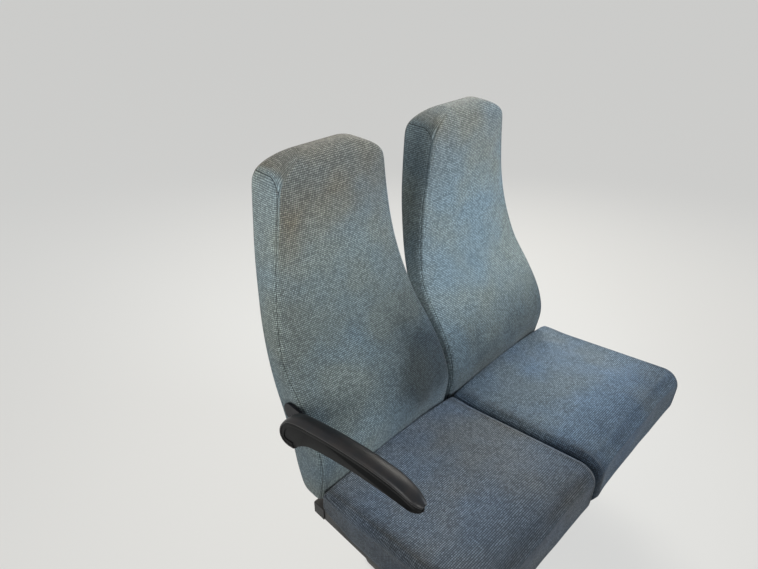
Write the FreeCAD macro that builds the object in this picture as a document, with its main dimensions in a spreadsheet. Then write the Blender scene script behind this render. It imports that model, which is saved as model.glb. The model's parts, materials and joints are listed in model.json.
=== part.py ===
import FreeCAD, Part
import math
import os

import Sketcher

# Double passenger seat of a small bus: two padded backs and two cushions on one steel frame.
# The frame stands on a pressed leg near the aisle and is bolted to the side wall at the other end.
# Millimetres. The origin is the middle of the foot's two floor bolts, on the floor.
# +X runs to the wall, -Y is the way the passengers face, +Z is up.
V = FreeCAD.Vector
UP = V(0, 0, 1)
ALONG = V(1, 0, 0)
REARWARD = V(0, 1, 0)

doc = FreeCAD.newDocument("double_seat")
sheet = doc.addObject("Spreadsheet::Sheet", "sizes")

# name, value, what it is
SIZES = [
    ("bench_x", 262, "foot's middle to the bench's middle"),
    ("crease_y", 170, "foot's middle to the crease of cushion and back"),
    ("soft_gap", 0.3, "room between a padded piece and what it lies on"),
    ("seat_pitch", 450, "middle of one cushion to the next"),
    ("cushion_gap", 4, "dark gap between the two cushions"),
    ("cushion_depth", 412, "crease to the front of the cushion"),
    ("cushion_base", 352, "height of the cushion's underside"),
    ("cushion_rear_top", 427, "height of the cushion at the crease"),
    ("cushion_front_top", 478, "height of the cushion's front corner"),
    ("cushion_nose", 45, "radius of the waterfall front"),
    ("cushion_edge", 12, "radius of the cushion's side edges"),
    ("cushion_tail", 90, "length of the raised tail of the underside"),
    ("cushion_lift", 22, "rise of that tail"),
    ("board_thick", 12, "seat board"),
    ("board_inset", 14, "seat board inside the cushion's edge"),
    ("tube_side", 34, "square frame tube"),
    ("tube_wall", 2.5, "wall of that tube"),
    ("front_rail_y", 310, "crease to the front rail"),
    ("rear_rail_y", 32, "crease to the rear rail, rearward"),
    ("rail_inset", 20, "cushion's side to the rail's end at the aisle"),
    ("wall_reach", 462, "bench's middle to the wall"),
    ("wall_tube_inset", 74, "wall to the middle of the last cross tube"),
    ("plug_flange", 3, "flange of a tube's end plug"),
    ("plug_insert", 14, "end plug inside its tube"),
    ("plug_clearance", 0.2, "room round that insert"),
    ("angle_side", 60, "wall angle"),
    ("angle_thick", 5, "thickness of that angle"),
    ("angle_overhang", 20, "wall angle beyond the rails"),
    ("wall_hole_spacing", 300, "wall bolts"),
    ("wall_hole_radius", 4.5, "wall bolt holes"),
    ("wall_hole_drop", 35, "wall bolts below the rails"),
    ("foot_length", 424, "foot plate"),
    ("foot_width", 76, "foot plate"),
    ("foot_thick", 6, "foot plate"),
    ("foot_hole_spacing", 376, "floor bolts"),
    ("foot_hole_radius", 5.5, "floor bolt holes"),
    ("leg_base", 324, "leg at the foot"),
    ("leg_top", 160, "leg at its head"),
    ("leg_depth", 57, "leg across"),
    ("leg_sheet", 3, "steel of the pressed leg"),
    ("leg_bend", 8, "outer radius of the leg's bends"),
    ("head_height", 36, "cross head on the leg"),
    ("back_half", 215.5, "half the width of a back"),
    ("aisle_back_x", -228, "bench's middle to the aisle back's middle"),
    ("window_back_x", 210, "bench's middle to the window back's middle"),
    ("back_base", 376, "height of the back's underside"),
    ("back_top", 1110, "height of the back's top"),
    ("back_top_half", 140, "half the width at the top, before its corners are rounded"),
    ("back_corner", 68, "height of the rounded top corners"),
    ("back_arch_run", 76, "how far in those corners reach; the top arches between them"),
    ("back_edge", 17, "radius of the long edges"),
    ("back_brow", 26, "radius of the top's front edge"),
    ("back_nape", 56, "radius of the top's rear edge"),
    ("back_toe", 20, "radius of the lower front corner"),
    ("back_heel", 26, "radius of the lower rear corner"),
    ("post_width", 40, "steel post of a back"),
    ("post_depth", 20, "steel post of a back"),
    ("post_spread", 120, "back's middle to its posts"),
    ("pivot_y", 35, "crease to the armrest's pivot"),
    ("pivot_z", 610, "height of the armrest's pivot"),
    ("hub_reach", 33, "pivot to the rear of the armrest's hub"),
    ("arm_width", 42, "armrest across"),
    ("arm_reach", 345, "pivot to the armrest's tip"),
    ("arm_rise", 104, "pivot to the top of the armrest at its tip"),
    ("tip_round", 16, "radius of the tip's corners seen from above"),
    ("core_inset", 3.5, "core behind the pad's side"),
    ("pad_thick", 11, "pad over the core"),
    ("pad_rim", 7, "pad's rim behind the core at the hub"),
    ("pad_round", 8, "radius of the pad's long edges"),
    ("pin_radius", 9, "pivot pin"),
    ("pin_clearance", 0.06, "room round the pin"),
    ("pin_length", 30, "pivot pin out of its plate"),
    ("plate_thick", 6, "pivot plate"),
    ("plate_radius", 22, "rounded ends of the pivot plate"),
    ("plate_reach", 46, "pivot to the plate's rear fixing"),
    ("plate_gap", 2.5, "pivot plate to the armrest"),
    ("strap_width", 47, "belt webbing"),
    ("strap_thick", 1.6, "belt webbing"),
    ("strap_length", 196, "floor bolt to the end of the belt"),
    ("strap_hem", 25, "folded and sewn end of the belt"),
    ("strap_turn", 40, "degrees the belt is turned to the aisle"),
    ("tab_thick", 3, "belt's steel tab"),
    ("tab_width", 62, "belt's steel tab"),
    ("tab_reach", 47, "floor bolt to the tab's front"),
    ("tab_bar", 8, "bar of the tab that the belt loops round"),
    ("tab_slot", 12, "slot of the tab"),
]
for row, (name, value, note) in enumerate(SIZES, start=1):
    sheet.set("A%d" % row, name)
    sheet.set("B%d" % row, str(value))
    sheet.set("C%d" % row, note)
    sheet.setAlias("B%d" % row, name)
doc.recompute()
size = {name: float(sheet.get(name)) for name, value, note in SIZES}
bench_x = size["bench_x"]
crease_y = size["crease_y"]
soft_gap = size["soft_gap"]

# Heights that the frame's pieces share, as text for the bound boxes and as numbers for the rest.
RAIL_TOP = "(sizes.cushion_base - sizes.soft_gap - sizes.board_thick)"
RAIL_BASE = "(" + RAIL_TOP + " - sizes.tube_side)"
HEAD_BASE = "(" + RAIL_BASE + " - sizes.head_height)"
FRONT_RAIL = "(sizes.crease_y - sizes.front_rail_y)"
REAR_RAIL = "(sizes.crease_y + sizes.rear_rail_y)"
AISLE_END = "(sizes.bench_x - sizes.seat_pitch + sizes.rail_inset)"
WALL_FACE = "(sizes.bench_x + sizes.wall_reach)"
rail_base = size["cushion_base"] - soft_gap - size["board_thick"] - size["tube_side"]
head_base = rail_base - size["head_height"]

nodes = []


def node(piece, name):
    """Names a finished piece; its file takes the same name."""
    piece.Label = name
    nodes.append(piece)
    return piece


def bound_box(name, length, width, height, x, y, z):
    """A block whose three sides and lowest corner are bound to the sheet."""
    box = doc.addObject("Part::Box", name)
    bindings = (("Length", length), ("Width", width), ("Height", height),
                ("Placement.Base.x", x), ("Placement.Base.y", y), ("Placement.Base.z", z))
    for prop, text in bindings:
        box.setExpression(prop, text)
    return box


def bound_cut(name, base, tool):
    """One block less another."""
    cut = doc.addObject("Part::Cut", name)
    cut.Base = base
    cut.Tool = tool
    return cut


def shaped(name, shape, place=V(0, 0, 0), turn=0):
    """A piece whose form comes from profiles; its place and its turn about +Z follow its shape."""
    piece = doc.addObject("Part::Feature", name)
    piece.Shape = shape
    piece.Placement = FreeCAD.Placement(place, FreeCAD.Rotation(UP, turn))
    return node(piece, name)


def rounded_loop(corners, at, inset=0):
    """Closed wire through (a, b, radius) corners: straight runs joined by tangent arcs.

    With an inset, the same loop drawn inwards; all its corners are then convex.
    """
    count = len(corners)
    stretches = []
    for i, (a, b, radius) in enumerate(corners):
        corner = at(a, b)
        before = (at(*corners[i - 1][:2]) - corner).normalize()
        after = (at(*corners[(i + 1) % count][:2]) - corner).normalize()
        half = before.getAngle(after) / 2
        inward = (before + after).normalize()
        corner += inward * (inset / math.sin(half))
        radius -= inset
        reach = radius / math.tan(half)
        middle = corner + inward * (radius / math.sin(half) - radius)
        stretches.append((corner + before * reach, middle, corner + after * reach))
    edges = []
    for i, (start, middle, end) in enumerate(stretches):
        if (end - start).Length > 1e-6:
            edges.append(Part.Arc(start, middle, end).toShape())
        following = stretches[(i + 1) % count][0]
        if (following - end).Length > 1e-6:
            edges.append(Part.LineSegment(end, following).toShape())
    return Part.Wire(edges)


def side_point(y, z):
    """A point of a side view; y is counted from the crease, rearward."""
    return V(0, crease_y + y, z)


def sharp_edges(shape, wanted, least=40):
    """Edges where two faces meet at more than some degrees and whose middle is wanted."""
    found = []
    for edge in shape.Edges:
        middle = edge.valueAt((edge.FirstParameter + edge.LastParameter) / 2)
        if not wanted(middle):
            continue
        normals = []
        for face in shape.Faces:
            if any(edge.isSame(other) for other in face.Edges):
                normals.append(face.normalAt(*face.Surface.parameter(middle)))
        if len(normals) == 2 and math.degrees(normals[0].getAngle(normals[1])) > least:
            found.append(edge)
    return found


# Foot plate: flat steel with round ends, a floor bolt at each end.
foot = doc.addObject("PartDesign::Body", "foot_plate")
foot_sketch = foot.newObject("Sketcher::SketchObject", "foot_outline")
ground = [f for f in foot.Origin.OriginFeatures if f.Role == "XY_Plane"][0]
foot_sketch.AttachmentSupport = (ground, [""])
foot_sketch.MapMode = "FlatFace"
half_width = size["foot_width"] / 2
half_straight = size["foot_length"] / 2 - half_width
half_holes = size["foot_hole_spacing"] / 2
foot_sketch.addGeometry(Part.ArcOfCircle(Part.Circle(V(0, half_straight, 0), UP, half_width), 0, math.pi))
foot_sketch.addGeometry(Part.LineSegment(V(-half_width, half_straight, 0), V(-half_width, -half_straight, 0)))
foot_sketch.addGeometry(
    Part.ArcOfCircle(Part.Circle(V(0, -half_straight, 0), UP, half_width), math.pi, 2 * math.pi))
foot_sketch.addGeometry(Part.LineSegment(V(half_width, -half_straight, 0), V(half_width, half_straight, 0)))
foot_sketch.addGeometry(Part.Circle(V(0, half_holes, 0), UP, size["foot_hole_radius"]))
foot_sketch.addGeometry(Part.Circle(V(0, -half_holes, 0), UP, size["foot_hole_radius"]))
for first, end, second, start in ((0, 2, 1, 1), (1, 2, 2, 1), (2, 2, 3, 1), (3, 2, 0, 1)):
    foot_sketch.addConstraint(Sketcher.Constraint("Tangent", first, end, second, start))
foot_sketch.addConstraint(Sketcher.Constraint("Symmetric", 0, 3, 2, 3, -1, 1))
foot_sketch.addConstraint(Sketcher.Constraint("PointOnObject", 0, 3, -2))
foot_sketch.addConstraint(Sketcher.Constraint("Symmetric", 4, 3, 5, 3, -1, 1))
foot_sketch.addConstraint(Sketcher.Constraint("PointOnObject", 4, 3, -2))
foot_sketch.addConstraint(Sketcher.Constraint("Equal", 4, 5))
round_end = foot_sketch.addConstraint(Sketcher.Constraint("Radius", 0, half_width))
straight = foot_sketch.addConstraint(Sketcher.Constraint("DistanceY", -1, 1, 0, 3, half_straight))
hole_place = foot_sketch.addConstraint(Sketcher.Constraint("DistanceY", -1, 1, 4, 3, half_holes))
hole_round = foot_sketch.addConstraint(Sketcher.Constraint("Radius", 4, size["foot_hole_radius"]))
foot_sketch.setExpression("Constraints[%d]" % round_end, "sizes.foot_width / 2")
foot_sketch.setExpression("Constraints[%d]" % straight, "(sizes.foot_length - sizes.foot_width) / 2")
foot_sketch.setExpression("Constraints[%d]" % hole_place, "sizes.foot_hole_spacing / 2")
foot_sketch.setExpression("Constraints[%d]" % hole_round, "sizes.foot_hole_radius")
foot_pad = foot.newObject("PartDesign::Pad", "foot_thickness")
foot_pad.Profile = foot_sketch
foot_pad.setExpression("Length", "sizes.foot_thick")
foot.Tip = foot_pad
node(foot, "foot_plate")


# Leg: one steel sheet pressed to a channel, wide at the foot, open on the window side.
def leg_block(inset, x_start, x_end, bend):
    """The leg's tapered side view, drawn in by inset, as a block between two x values."""
    base_half = size["leg_base"] / 2 - inset
    top_half = size["leg_top"] / 2 - inset
    outline = Part.makePolygon([
        V(x_start, -base_half, size["foot_thick"]), V(x_start, base_half, size["foot_thick"]),
        V(x_start, top_half, head_base), V(x_start, -top_half, head_base),
        V(x_start, -base_half, size["foot_thick"])])
    block = Part.Face(outline).extrude(V(x_end - x_start, 0, 0))
    bends = [e for e in block.Edges
             if abs(e.BoundBox.XMax - x_start) < 1e-6 and e.BoundBox.ZLength > 1]
    return block.makeFillet(bend, bends)


aisle_face = -size["leg_depth"] / 2
leg_outer = leg_block(0, aisle_face, -aisle_face, size["leg_bend"])
leg_inner = leg_block(size["leg_sheet"], aisle_face + size["leg_sheet"], -aisle_face + 1,
                      size["leg_bend"] - size["leg_sheet"])
shaped("leg_channel", leg_outer.cut(leg_inner))


# Frame tubes: square steel tube, two rails to the wall and three cross tubes between them.
def square_tube(name, direction, length, x, y, z, width="sizes.tube_side", height="sizes.tube_side",
                wall="sizes.tube_wall"):
    """An open tube along x or y from its lowest corner."""
    if direction == "x":
        outer = (length, width, height)
        inner = (length + " + 2", width + " - 2 * " + wall, height + " - 2 * " + wall)
        start = (x + " - 1", y + " + " + wall, z + " + " + wall)
    else:
        outer = (width, length, height)
        inner = (width + " - 2 * " + wall, length + " + 2", height + " - 2 * " + wall)
        start = (x + " + " + wall, y + " - 1", z + " + " + wall)
    body = bound_box(name + "_outside", outer[0], outer[1], outer[2], x, y, z)
    bore = bound_box(name + "_inside", inner[0], inner[1], inner[2], start[0], start[1], start[2])
    return node(bound_cut(name, body, bore), name)


HALF_TUBE = "sizes.tube_side / 2"
RAIL_LENGTH = "(" + WALL_FACE + " - sizes.angle_thick - " + AISLE_END + ")"
for name, line in (("front_rail", FRONT_RAIL), ("rear_rail", REAR_RAIL)):
    square_tube(name, "x", RAIL_LENGTH, AISLE_END, line + " - " + HALF_TUBE, RAIL_BASE)
CROSS_TUBES = (
    ("aisle_cross_tube", AISLE_END),
    ("middle_cross_tube", "sizes.bench_x - " + HALF_TUBE),
    ("window_cross_tube", WALL_FACE + " - sizes.wall_tube_inset - " + HALF_TUBE),
)
CROSS_LENGTH = "(" + REAR_RAIL + " - " + FRONT_RAIL + " - sizes.tube_side)"
for name, x in CROSS_TUBES:
    square_tube(name, "y", CROSS_LENGTH, x, FRONT_RAIL + " + " + HALF_TUBE, RAIL_BASE)
square_tube("leg_head", "y", "(" + REAR_RAIL + " - " + FRONT_RAIL + " + sizes.tube_side)",
            "-sizes.leg_depth / 2", FRONT_RAIL + " - " + HALF_TUBE, HEAD_BASE,
            width="sizes.leg_depth", height="sizes.head_height", wall="sizes.leg_sheet")


# End plugs: moulded plastic, pressed into the open ends of the rails and of the leg's head.
def end_plug(name, mouth, outward, width, height, wall):
    """A plug drawn at the origin with its flange towards +Z, then turned outward in a tube's mouth."""
    flange = Part.makeBox(width, height, size["plug_flange"], V(-width / 2, -height / 2, 0))
    rim = [e for e in flange.Edges if e.BoundBox.ZMax > size["plug_flange"] / 2]
    flange = flange.makeChamfer(size["plug_flange"] / 3, rim)
    side = wall + size["plug_clearance"]
    insert = Part.makeBox(width - 2 * side, height - 2 * side, size["plug_insert"],
                          V(side - width / 2, side - height / 2, -size["plug_insert"]))
    plug = flange.fuse(insert).removeSplitter()
    plug.Placement = FreeCAD.Placement(mouth, FreeCAD.Rotation(UP, outward))
    piece = doc.addObject("Part::Feature", name)
    piece.Shape = plug
    return node(piece, name)


tube_middle = rail_base + size["tube_side"] / 2
head_middle = head_base + size["head_height"] / 2
front_rail_y = crease_y - size["front_rail_y"]
rear_rail_y = crease_y + size["rear_rail_y"]
aisle_end = bench_x - size["seat_pitch"] + size["rail_inset"]
for name, y in (("front_rail_plug", front_rail_y), ("rear_rail_plug", rear_rail_y)):
    end_plug(name, V(aisle_end, y, tube_middle), -ALONG, size["tube_side"], size["tube_side"],
             size["tube_wall"])
for name, y, facing in (("head_front_plug", front_rail_y - size["tube_side"] / 2, -REARWARD),
                        ("head_rear_plug", rear_rail_y + size["tube_side"] / 2, REARWARD)):
    end_plug(name, V(0, y, head_middle), facing, size["leg_depth"], size["head_height"], size["leg_sheet"])

# Wall angle: the rails lie on its shelf, and two bolts hold its web to the wall.
angle_y = "(" + FRONT_RAIL + " - " + HALF_TUBE + " - sizes.angle_overhang)"
angle_length = "(" + REAR_RAIL + " - " + FRONT_RAIL + " + sizes.tube_side + 2 * sizes.angle_overhang)"
web = bound_box("wall_angle_web", "sizes.angle_thick", angle_length, "sizes.angle_side",
                WALL_FACE + " - sizes.angle_thick", angle_y, RAIL_BASE + " - sizes.angle_side")
shelf = bound_box("wall_angle_shelf", "sizes.angle_side", angle_length, "sizes.angle_thick",
                  WALL_FACE + " - sizes.angle_side", angle_y, RAIL_BASE + " - sizes.angle_thick")
angle = doc.addObject("Part::Fuse", "wall_angle_plain")
angle.Base = web
angle.Tool = shelf
angle.Refine = True
for side, name in ((-1, "wall_angle_front_hole"), (1, "wall_angle")):
    drill = doc.addObject("Part::Cylinder", "wall_bolt_hole")
    drill.setExpression("Radius", "sizes.wall_hole_radius")
    drill.setExpression("Height", "sizes.angle_thick + 2")
    drill.Placement.Rotation = FreeCAD.Rotation(REARWARD, 90)
    drill.setExpression("Placement.Base.x", WALL_FACE + " - sizes.angle_thick - 1")
    drill.setExpression("Placement.Base.y", "(%s + %s) / 2 + %d * sizes.wall_hole_spacing / 2"
                        % (FRONT_RAIL, REAR_RAIL, side))
    drill.setExpression("Placement.Base.z", RAIL_BASE + " - sizes.wall_hole_drop")
    angle = bound_cut(name, angle, drill)
node(angle, "wall_angle")

# Backs: one padded form each, lofted through level sections with rounded corners.
# Share of the height, front and rear y from the crease, share of the taper to the top's width.
# The front goes up over the lumbar swell, leans back and stands upright at the head.
BACK_SECTIONS = [
    (0.0, 8, 72, 0.0),
    (0.174, -7, 98, 0.0),
    (0.272, 15, 123, 0.0),
    (0.356, 57, 154, 0.0),
    (0.440, 104, 179, 0.09),
    (0.524, 130, 205, 0.25),
    (0.622, 147, 229, 0.46),
    (0.720, 156, 246, 0.63),
    (0.908, 158, 261, 0.89),
    (1.0, 155, 264, 1.0),
]
back_height = size["back_top"] - size["back_base"]


def between(share):
    """The sections' front, rear and taper at any share of the height."""
    for low, high in zip(BACK_SECTIONS, BACK_SECTIONS[1:]):
        if share <= high[0]:
            part = (share - low[0]) / (high[0] - low[0])
            return [a + (b - a) * part for a, b in zip(low[1:], high[1:])]
    return BACK_SECTIONS[-1][1:]


def side_reach(z):
    """Half the back's width at a height, before its edges are rounded."""
    taper = between((z - size["back_base"]) / back_height)[2]
    return size["back_half"] + (size["back_top_half"] - size["back_half"]) * taper


def rounding(depth, run):
    """How far a quarter round, depth high and run wide, draws the form in; 0 where it ends."""
    return lambda below: run * (1 - math.sqrt(1 - max(0, 1 - below / depth) ** 2))


def back_section(z):
    """The back's outline at a height, drawn in near the top and the base."""
    front, rear, taper = between((z - size["back_base"]) / back_height)
    half = side_reach(z)
    under_top = size["back_top"] - z
    over_base = z - size["back_base"]
    half -= rounding(size["back_corner"], size["back_arch_run"])(under_top)
    half -= rounding(size["back_edge"], size["back_edge"])(over_base)
    front += rounding(size["back_brow"], size["back_brow"])(under_top)
    front += rounding(size["back_toe"], size["back_toe"])(over_base)
    rear -= rounding(size["back_nape"], size["back_nape"])(under_top)
    rear -= rounding(size["back_heel"], size["back_heel"])(over_base)
    radius = min(size["back_edge"], 0.4 * (rear - front))
    corners = [(half, front, radius), (half, rear, radius), (-half, rear, radius), (-half, front, radius)]
    return rounded_loop(corners, lambda x, y: V(x, crease_y + y, z))


def quarter_steps(reach, steps):
    """Distances from an end at which a quarter round of that reach is cut, the nearest last."""
    return [reach * (1 - math.sin(math.radians(90 * i / steps))) for i in range(steps + 1)]


def back_solid():
    """A back, standing with its own middle at x = 0."""
    top_steps = quarter_steps(size["back_corner"], 4)
    base_steps = quarter_steps(size["back_heel"], 3)
    heights = [size["back_top"] - d for d in top_steps] + [size["back_base"] + d for d in base_steps]
    for row in BACK_SECTIONS:
        z = size["back_base"] + row[0] * back_height
        if size["back_base"] + size["back_heel"] + 5 < z < size["back_top"] - size["back_corner"] - 5:
            heights.append(z)
    return Part.makeLoft([back_section(z) for z in sorted(heights)], True, True)


BACKS = (("back_aisle", "aisle", size["aisle_back_x"]), ("back_window", "window", size["window_back_x"]))
padded_back = back_solid()
for name, seat, offset in BACKS:
    shaped(name, padded_back, V(bench_x + offset, 0, 0))

# Posts: flat steel, welded on the rear rail, two to each back.
for name, seat, offset in BACKS:
    for side, place in ((-1, "left"), (1, "right")):
        post = bound_box("post_%s_%s" % (seat, place), "sizes.post_width", "sizes.post_depth",
                         "sizes.back_base - sizes.soft_gap - " + RAIL_TOP,
                         "sizes.bench_x + sizes.%s_back_x + %d * sizes.post_spread - sizes.post_width / 2"
                         % (seat, side), REAR_RAIL + " - sizes.post_depth / 2", RAIL_TOP)
        node(post, "post_%s_%s" % (seat, place))


# Cushions: waterfall front, raised tail, and a rear face that follows the back's foot.
def back_foot_y(z):
    """The back's front face below the lumbar swell."""
    return between((z - size["back_base"]) / back_height)[0]


tail_z = size["cushion_base"] + size["cushion_lift"]
# y from the crease, z, corner radius
CUSHION_PROFILE = [
    (-size["cushion_depth"], size["cushion_base"], 16),
    (-size["cushion_depth"], size["cushion_front_top"], size["cushion_nose"]),
    (back_foot_y(size["cushion_rear_top"]) - 2 * soft_gap, size["cushion_rear_top"], 14),
    (back_foot_y(tail_z) - 2 * soft_gap, tail_z, 14),
    (-size["cushion_tail"], size["cushion_base"], 60),
]
cushion_half = (size["seat_pitch"] - size["cushion_gap"]) / 2
edge = size["cushion_edge"]
cushion_sections = []
for from_side in reversed(quarter_steps(edge, 3)):
    profile = rounded_loop(CUSHION_PROFILE, side_point, inset=rounding(edge, edge)(from_side))
    profile.translate(V(cushion_half - from_side, 0, 0))
    cushion_sections.append(profile)
for profile in reversed(list(cushion_sections)):
    mirrored = profile.copy()
    mirrored.translate(V(-2 * profile.BoundBox.XMin, 0, 0))
    cushion_sections.append(mirrored)
cushion = Part.makeLoft(cushion_sections, True, True)
for name, side in (("cushion_aisle", -1), ("cushion_window", 1)):
    shaped(name, cushion, V(bench_x + side * size["seat_pitch"] / 2, 0, 0))

# Seat boards: plywood under each cushion, screwed on the cross tubes.
for name, side in (("board_aisle", -1), ("board_window", 1)):
    board = bound_box(
        name, "sizes.seat_pitch - sizes.cushion_gap - 2 * sizes.board_inset",
        "sizes.cushion_depth - sizes.cushion_tail - 2 * sizes.board_inset", "sizes.board_thick",
        "sizes.bench_x + (%d) * sizes.seat_pitch / 2 - sizes.seat_pitch / 2 + sizes.cushion_gap / 2"
        " + sizes.board_inset" % side,
        "sizes.crease_y - sizes.cushion_depth + sizes.board_inset", RAIL_TOP)
    node(board, name)

# Armrest: a hard core under a moulded pad, on a pin at the back's aisle side.
pivot = V(0, crease_y + size["pivot_y"], size["pivot_z"])
back_side = side_reach(size["pivot_z"] - size["plate_radius"])
plate_x = bench_x + size["aisle_back_x"] - back_side - soft_gap
arm_inner_x = plate_x - size["plate_thick"] - size["plate_gap"]
reach = size["arm_reach"]
rise = size["arm_rise"]
hub = size["hub_reach"]
# Seen from the aisle, from the pivot: y, z, corner radius. Round the hub, along the hollow
# underside to the tip, and back over the top.
ARM_OUTLINE = [
    (hub, -0.94 * hub, 24),
    (-0.73 * hub, -0.61 * hub, 6),
    (-1.42 * hub, 0.15 * hub, 30),
    (-0.38 * reach, 0.32 * rise, 300),
    (-0.7 * reach, 0.55 * rise, 500),
    (-reach, 0.62 * rise, 15),
    (-reach, rise, 19),
    (-0.71 * reach, 0.93 * rise, 500),
    (-0.34 * reach, 0.75 * rise, 500),
    (-0.67 * hub, 1.73 * hub, 90),
    (hub, 0.55 * hub, 26),
]


def arm_form(inset, shift, edge_radius):
    """The armrest's whole form, inset on both sides, slid by shift, its long edges rounded."""
    half = size["arm_width"] / 2 - inset
    face = Part.Face(rounded_loop(ARM_OUTLINE, lambda y, z: V(-half, y, z)))
    side_view = face.extrude(V(2 * half, 0, 0))
    tip_round = size["tip_round"] - inset
    plan = Part.Face(rounded_loop([
        (-half, -reach, tip_round), (half, -reach, tip_round), (half, 2 * hub, 1), (-half, 2 * hub, 1),
    ], lambda x, y: V(x, y, -2 * hub)))
    form = side_view.common(plan.extrude(V(0, 0, 2 * hub + 2 * rise)))
    if edge_radius:
        form = form.makeFillet(edge_radius, sharp_edges(form, lambda p: True))
    form.translate(pivot + V(arm_inner_x - size["arm_width"] / 2, 0, 0) + shift)
    return form


slide = V(0, -size["pad_rim"], -size["pad_thick"])
core = arm_form(size["core_inset"], V(0, 0, 0), 0).common(arm_form(-1, slide, 0))
bore_radius = size["pin_radius"] + size["pin_clearance"]
bore_depth = size["core_inset"] + size["pin_length"] + 2
core = core.cut(Part.makeCylinder(bore_radius, bore_depth, pivot + V(arm_inner_x + 1, 0, 0), -ALONG))
shaped("arm_core", core)
pad = arm_form(0, V(0, 0, 0), size["pad_round"]).cut(arm_form(-1, slide + V(0, 0.15, 0.2), 0))
shaped("arm_pad", pad)

# Pivot plate: steel, fixed through the back's side to the frame inside it, with the pin on it.
plate_end = pivot + V(0, size["plate_reach"], 0)
plate_loop = Part.Wire([
    Part.Arc(pivot + V(0, 0, size["plate_radius"]), pivot + V(0, -size["plate_radius"], 0),
             pivot + V(0, 0, -size["plate_radius"])).toShape(),
    Part.LineSegment(pivot + V(0, 0, -size["plate_radius"]), plate_end + V(0, 0, -size["plate_radius"])).toShape(),
    Part.Arc(plate_end + V(0, 0, -size["plate_radius"]), plate_end + V(0, size["plate_radius"], 0),
             plate_end + V(0, 0, size["plate_radius"])).toShape(),
    Part.LineSegment(plate_end + V(0, 0, size["plate_radius"]), pivot + V(0, 0, size["plate_radius"])).toShape(),
])
plate = Part.Face(plate_loop)
plate.translate(V(plate_x - size["plate_thick"], 0, 0))
plate = plate.extrude(V(size["plate_thick"], 0, 0))
pin = Part.makeCylinder(size["pin_radius"], size["pin_length"] + size["plate_gap"] + size["core_inset"] + 1,
                        pivot + V(plate_x - size["plate_thick"] + 1, 0, 0), -ALONG)
shaped("arm_bracket", plate.fuse(pin).removeSplitter())

# Belt: a steel tab under the front floor bolt, and the webbing looped round its bar. Both are
# drawn along +Y from the bolt, then turned to lie forward and out into the aisle.
bolt = V(0, -size["foot_hole_spacing"] / 2, 0)
tab_base = size["foot_thick"]
tab_top = tab_base + size["tab_thick"]
bar_start = size["tab_reach"] - size["tab_bar"]
belt_turn = 180 - size["strap_turn"]
tab_corners = [
    (-15, -15, 14), (15, -15, 14), (size["tab_width"] / 2, bar_start - size["tab_slot"] - 6, 6),
    (size["tab_width"] / 2, size["tab_reach"], 4), (-size["tab_width"] / 2, size["tab_reach"], 4),
    (-size["tab_width"] / 2, bar_start - size["tab_slot"] - 6, 6),
]
tab = Part.Face(rounded_loop(tab_corners, lambda x, y: V(x, y, tab_base))).extrude(V(0, 0, size["tab_thick"]))
slot_width = size["strap_width"] + 3
slot = Part.makeBox(slot_width, size["tab_slot"], size["tab_thick"] + 2,
                    V(-slot_width / 2, bar_start - size["tab_slot"], tab_base - 1))
tab = tab.cut(slot).cut(Part.makeCylinder(size["foot_hole_radius"], size["tab_thick"] + 2,
                                          V(0, 0, tab_base - 1)))
shaped("belt_tab", tab, bolt, belt_turn)

web_thick = size["strap_thick"]
loop_start = bar_start - soft_gap - web_thick
loop_end = size["tab_reach"] + soft_gap + web_thick
loop_low = tab_base - soft_gap - web_thick
loop_high = tab_top + soft_gap + web_thick
hem_start = size["strap_length"] - size["strap_hem"]
landing = loop_end + 14
# distance from the bolt, height
webbing_side = [
    (loop_start, loop_low), (loop_end - 4, loop_low), (landing - 2, 0), (size["strap_length"], 0),
    (size["strap_length"], 2 * web_thick), (hem_start, 2 * web_thick), (hem_start, web_thick),
    (landing, web_thick), (loop_end, loop_low + web_thick - 0.4), (loop_end, loop_high),
    (loop_start, loop_high), (loop_start, loop_low),
]
webbing = Part.Face(Part.makePolygon([V(-size["strap_width"] / 2, along, high) for along, high in webbing_side]))
webbing = webbing.extrude(V(size["strap_width"], 0, 0))
webbing = webbing.cut(Part.makeBox(
    size["strap_width"] + 2, size["tab_bar"] + 2 * soft_gap, size["tab_thick"] + 2 * soft_gap,
    V(-size["strap_width"] / 2 - 1, bar_start - soft_gap, tab_base - soft_gap)))
shaped("belt_webbing", webbing, bolt, belt_turn)

doc.recompute()
for thing in doc.Objects:
    if "Invalid" in thing.State or "Error" in thing.State:
        raise RuntimeError("failed: " + thing.Label)
os.makedirs("parts", exist_ok=True)
for piece in nodes:
    if piece.Shape.isNull() or not piece.Shape.isValid():
        raise RuntimeError("bad shape: " + piece.Label)
    if len(piece.Shape.Solids) != 1:
        raise RuntimeError("%s has %d solids" % (piece.Label, len(piece.Shape.Solids)))
    piece.Shape.exportStep("parts/%s.step" % piece.Label)
    box = piece.Shape.optimalBoundingBox(False)
    print("%-18s volume %11.1f  x %7.1f %7.1f  y %7.1f %7.1f  z %7.1f %7.1f" % (
        piece.Label, piece.Shape.Volume, box.XMin, box.XMax, box.YMin, box.YMax, box.ZMin, box.ZMax))
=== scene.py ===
import json
import math

import bpy
import numpy as np
from mathutils import Matrix, Vector, noise


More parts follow.
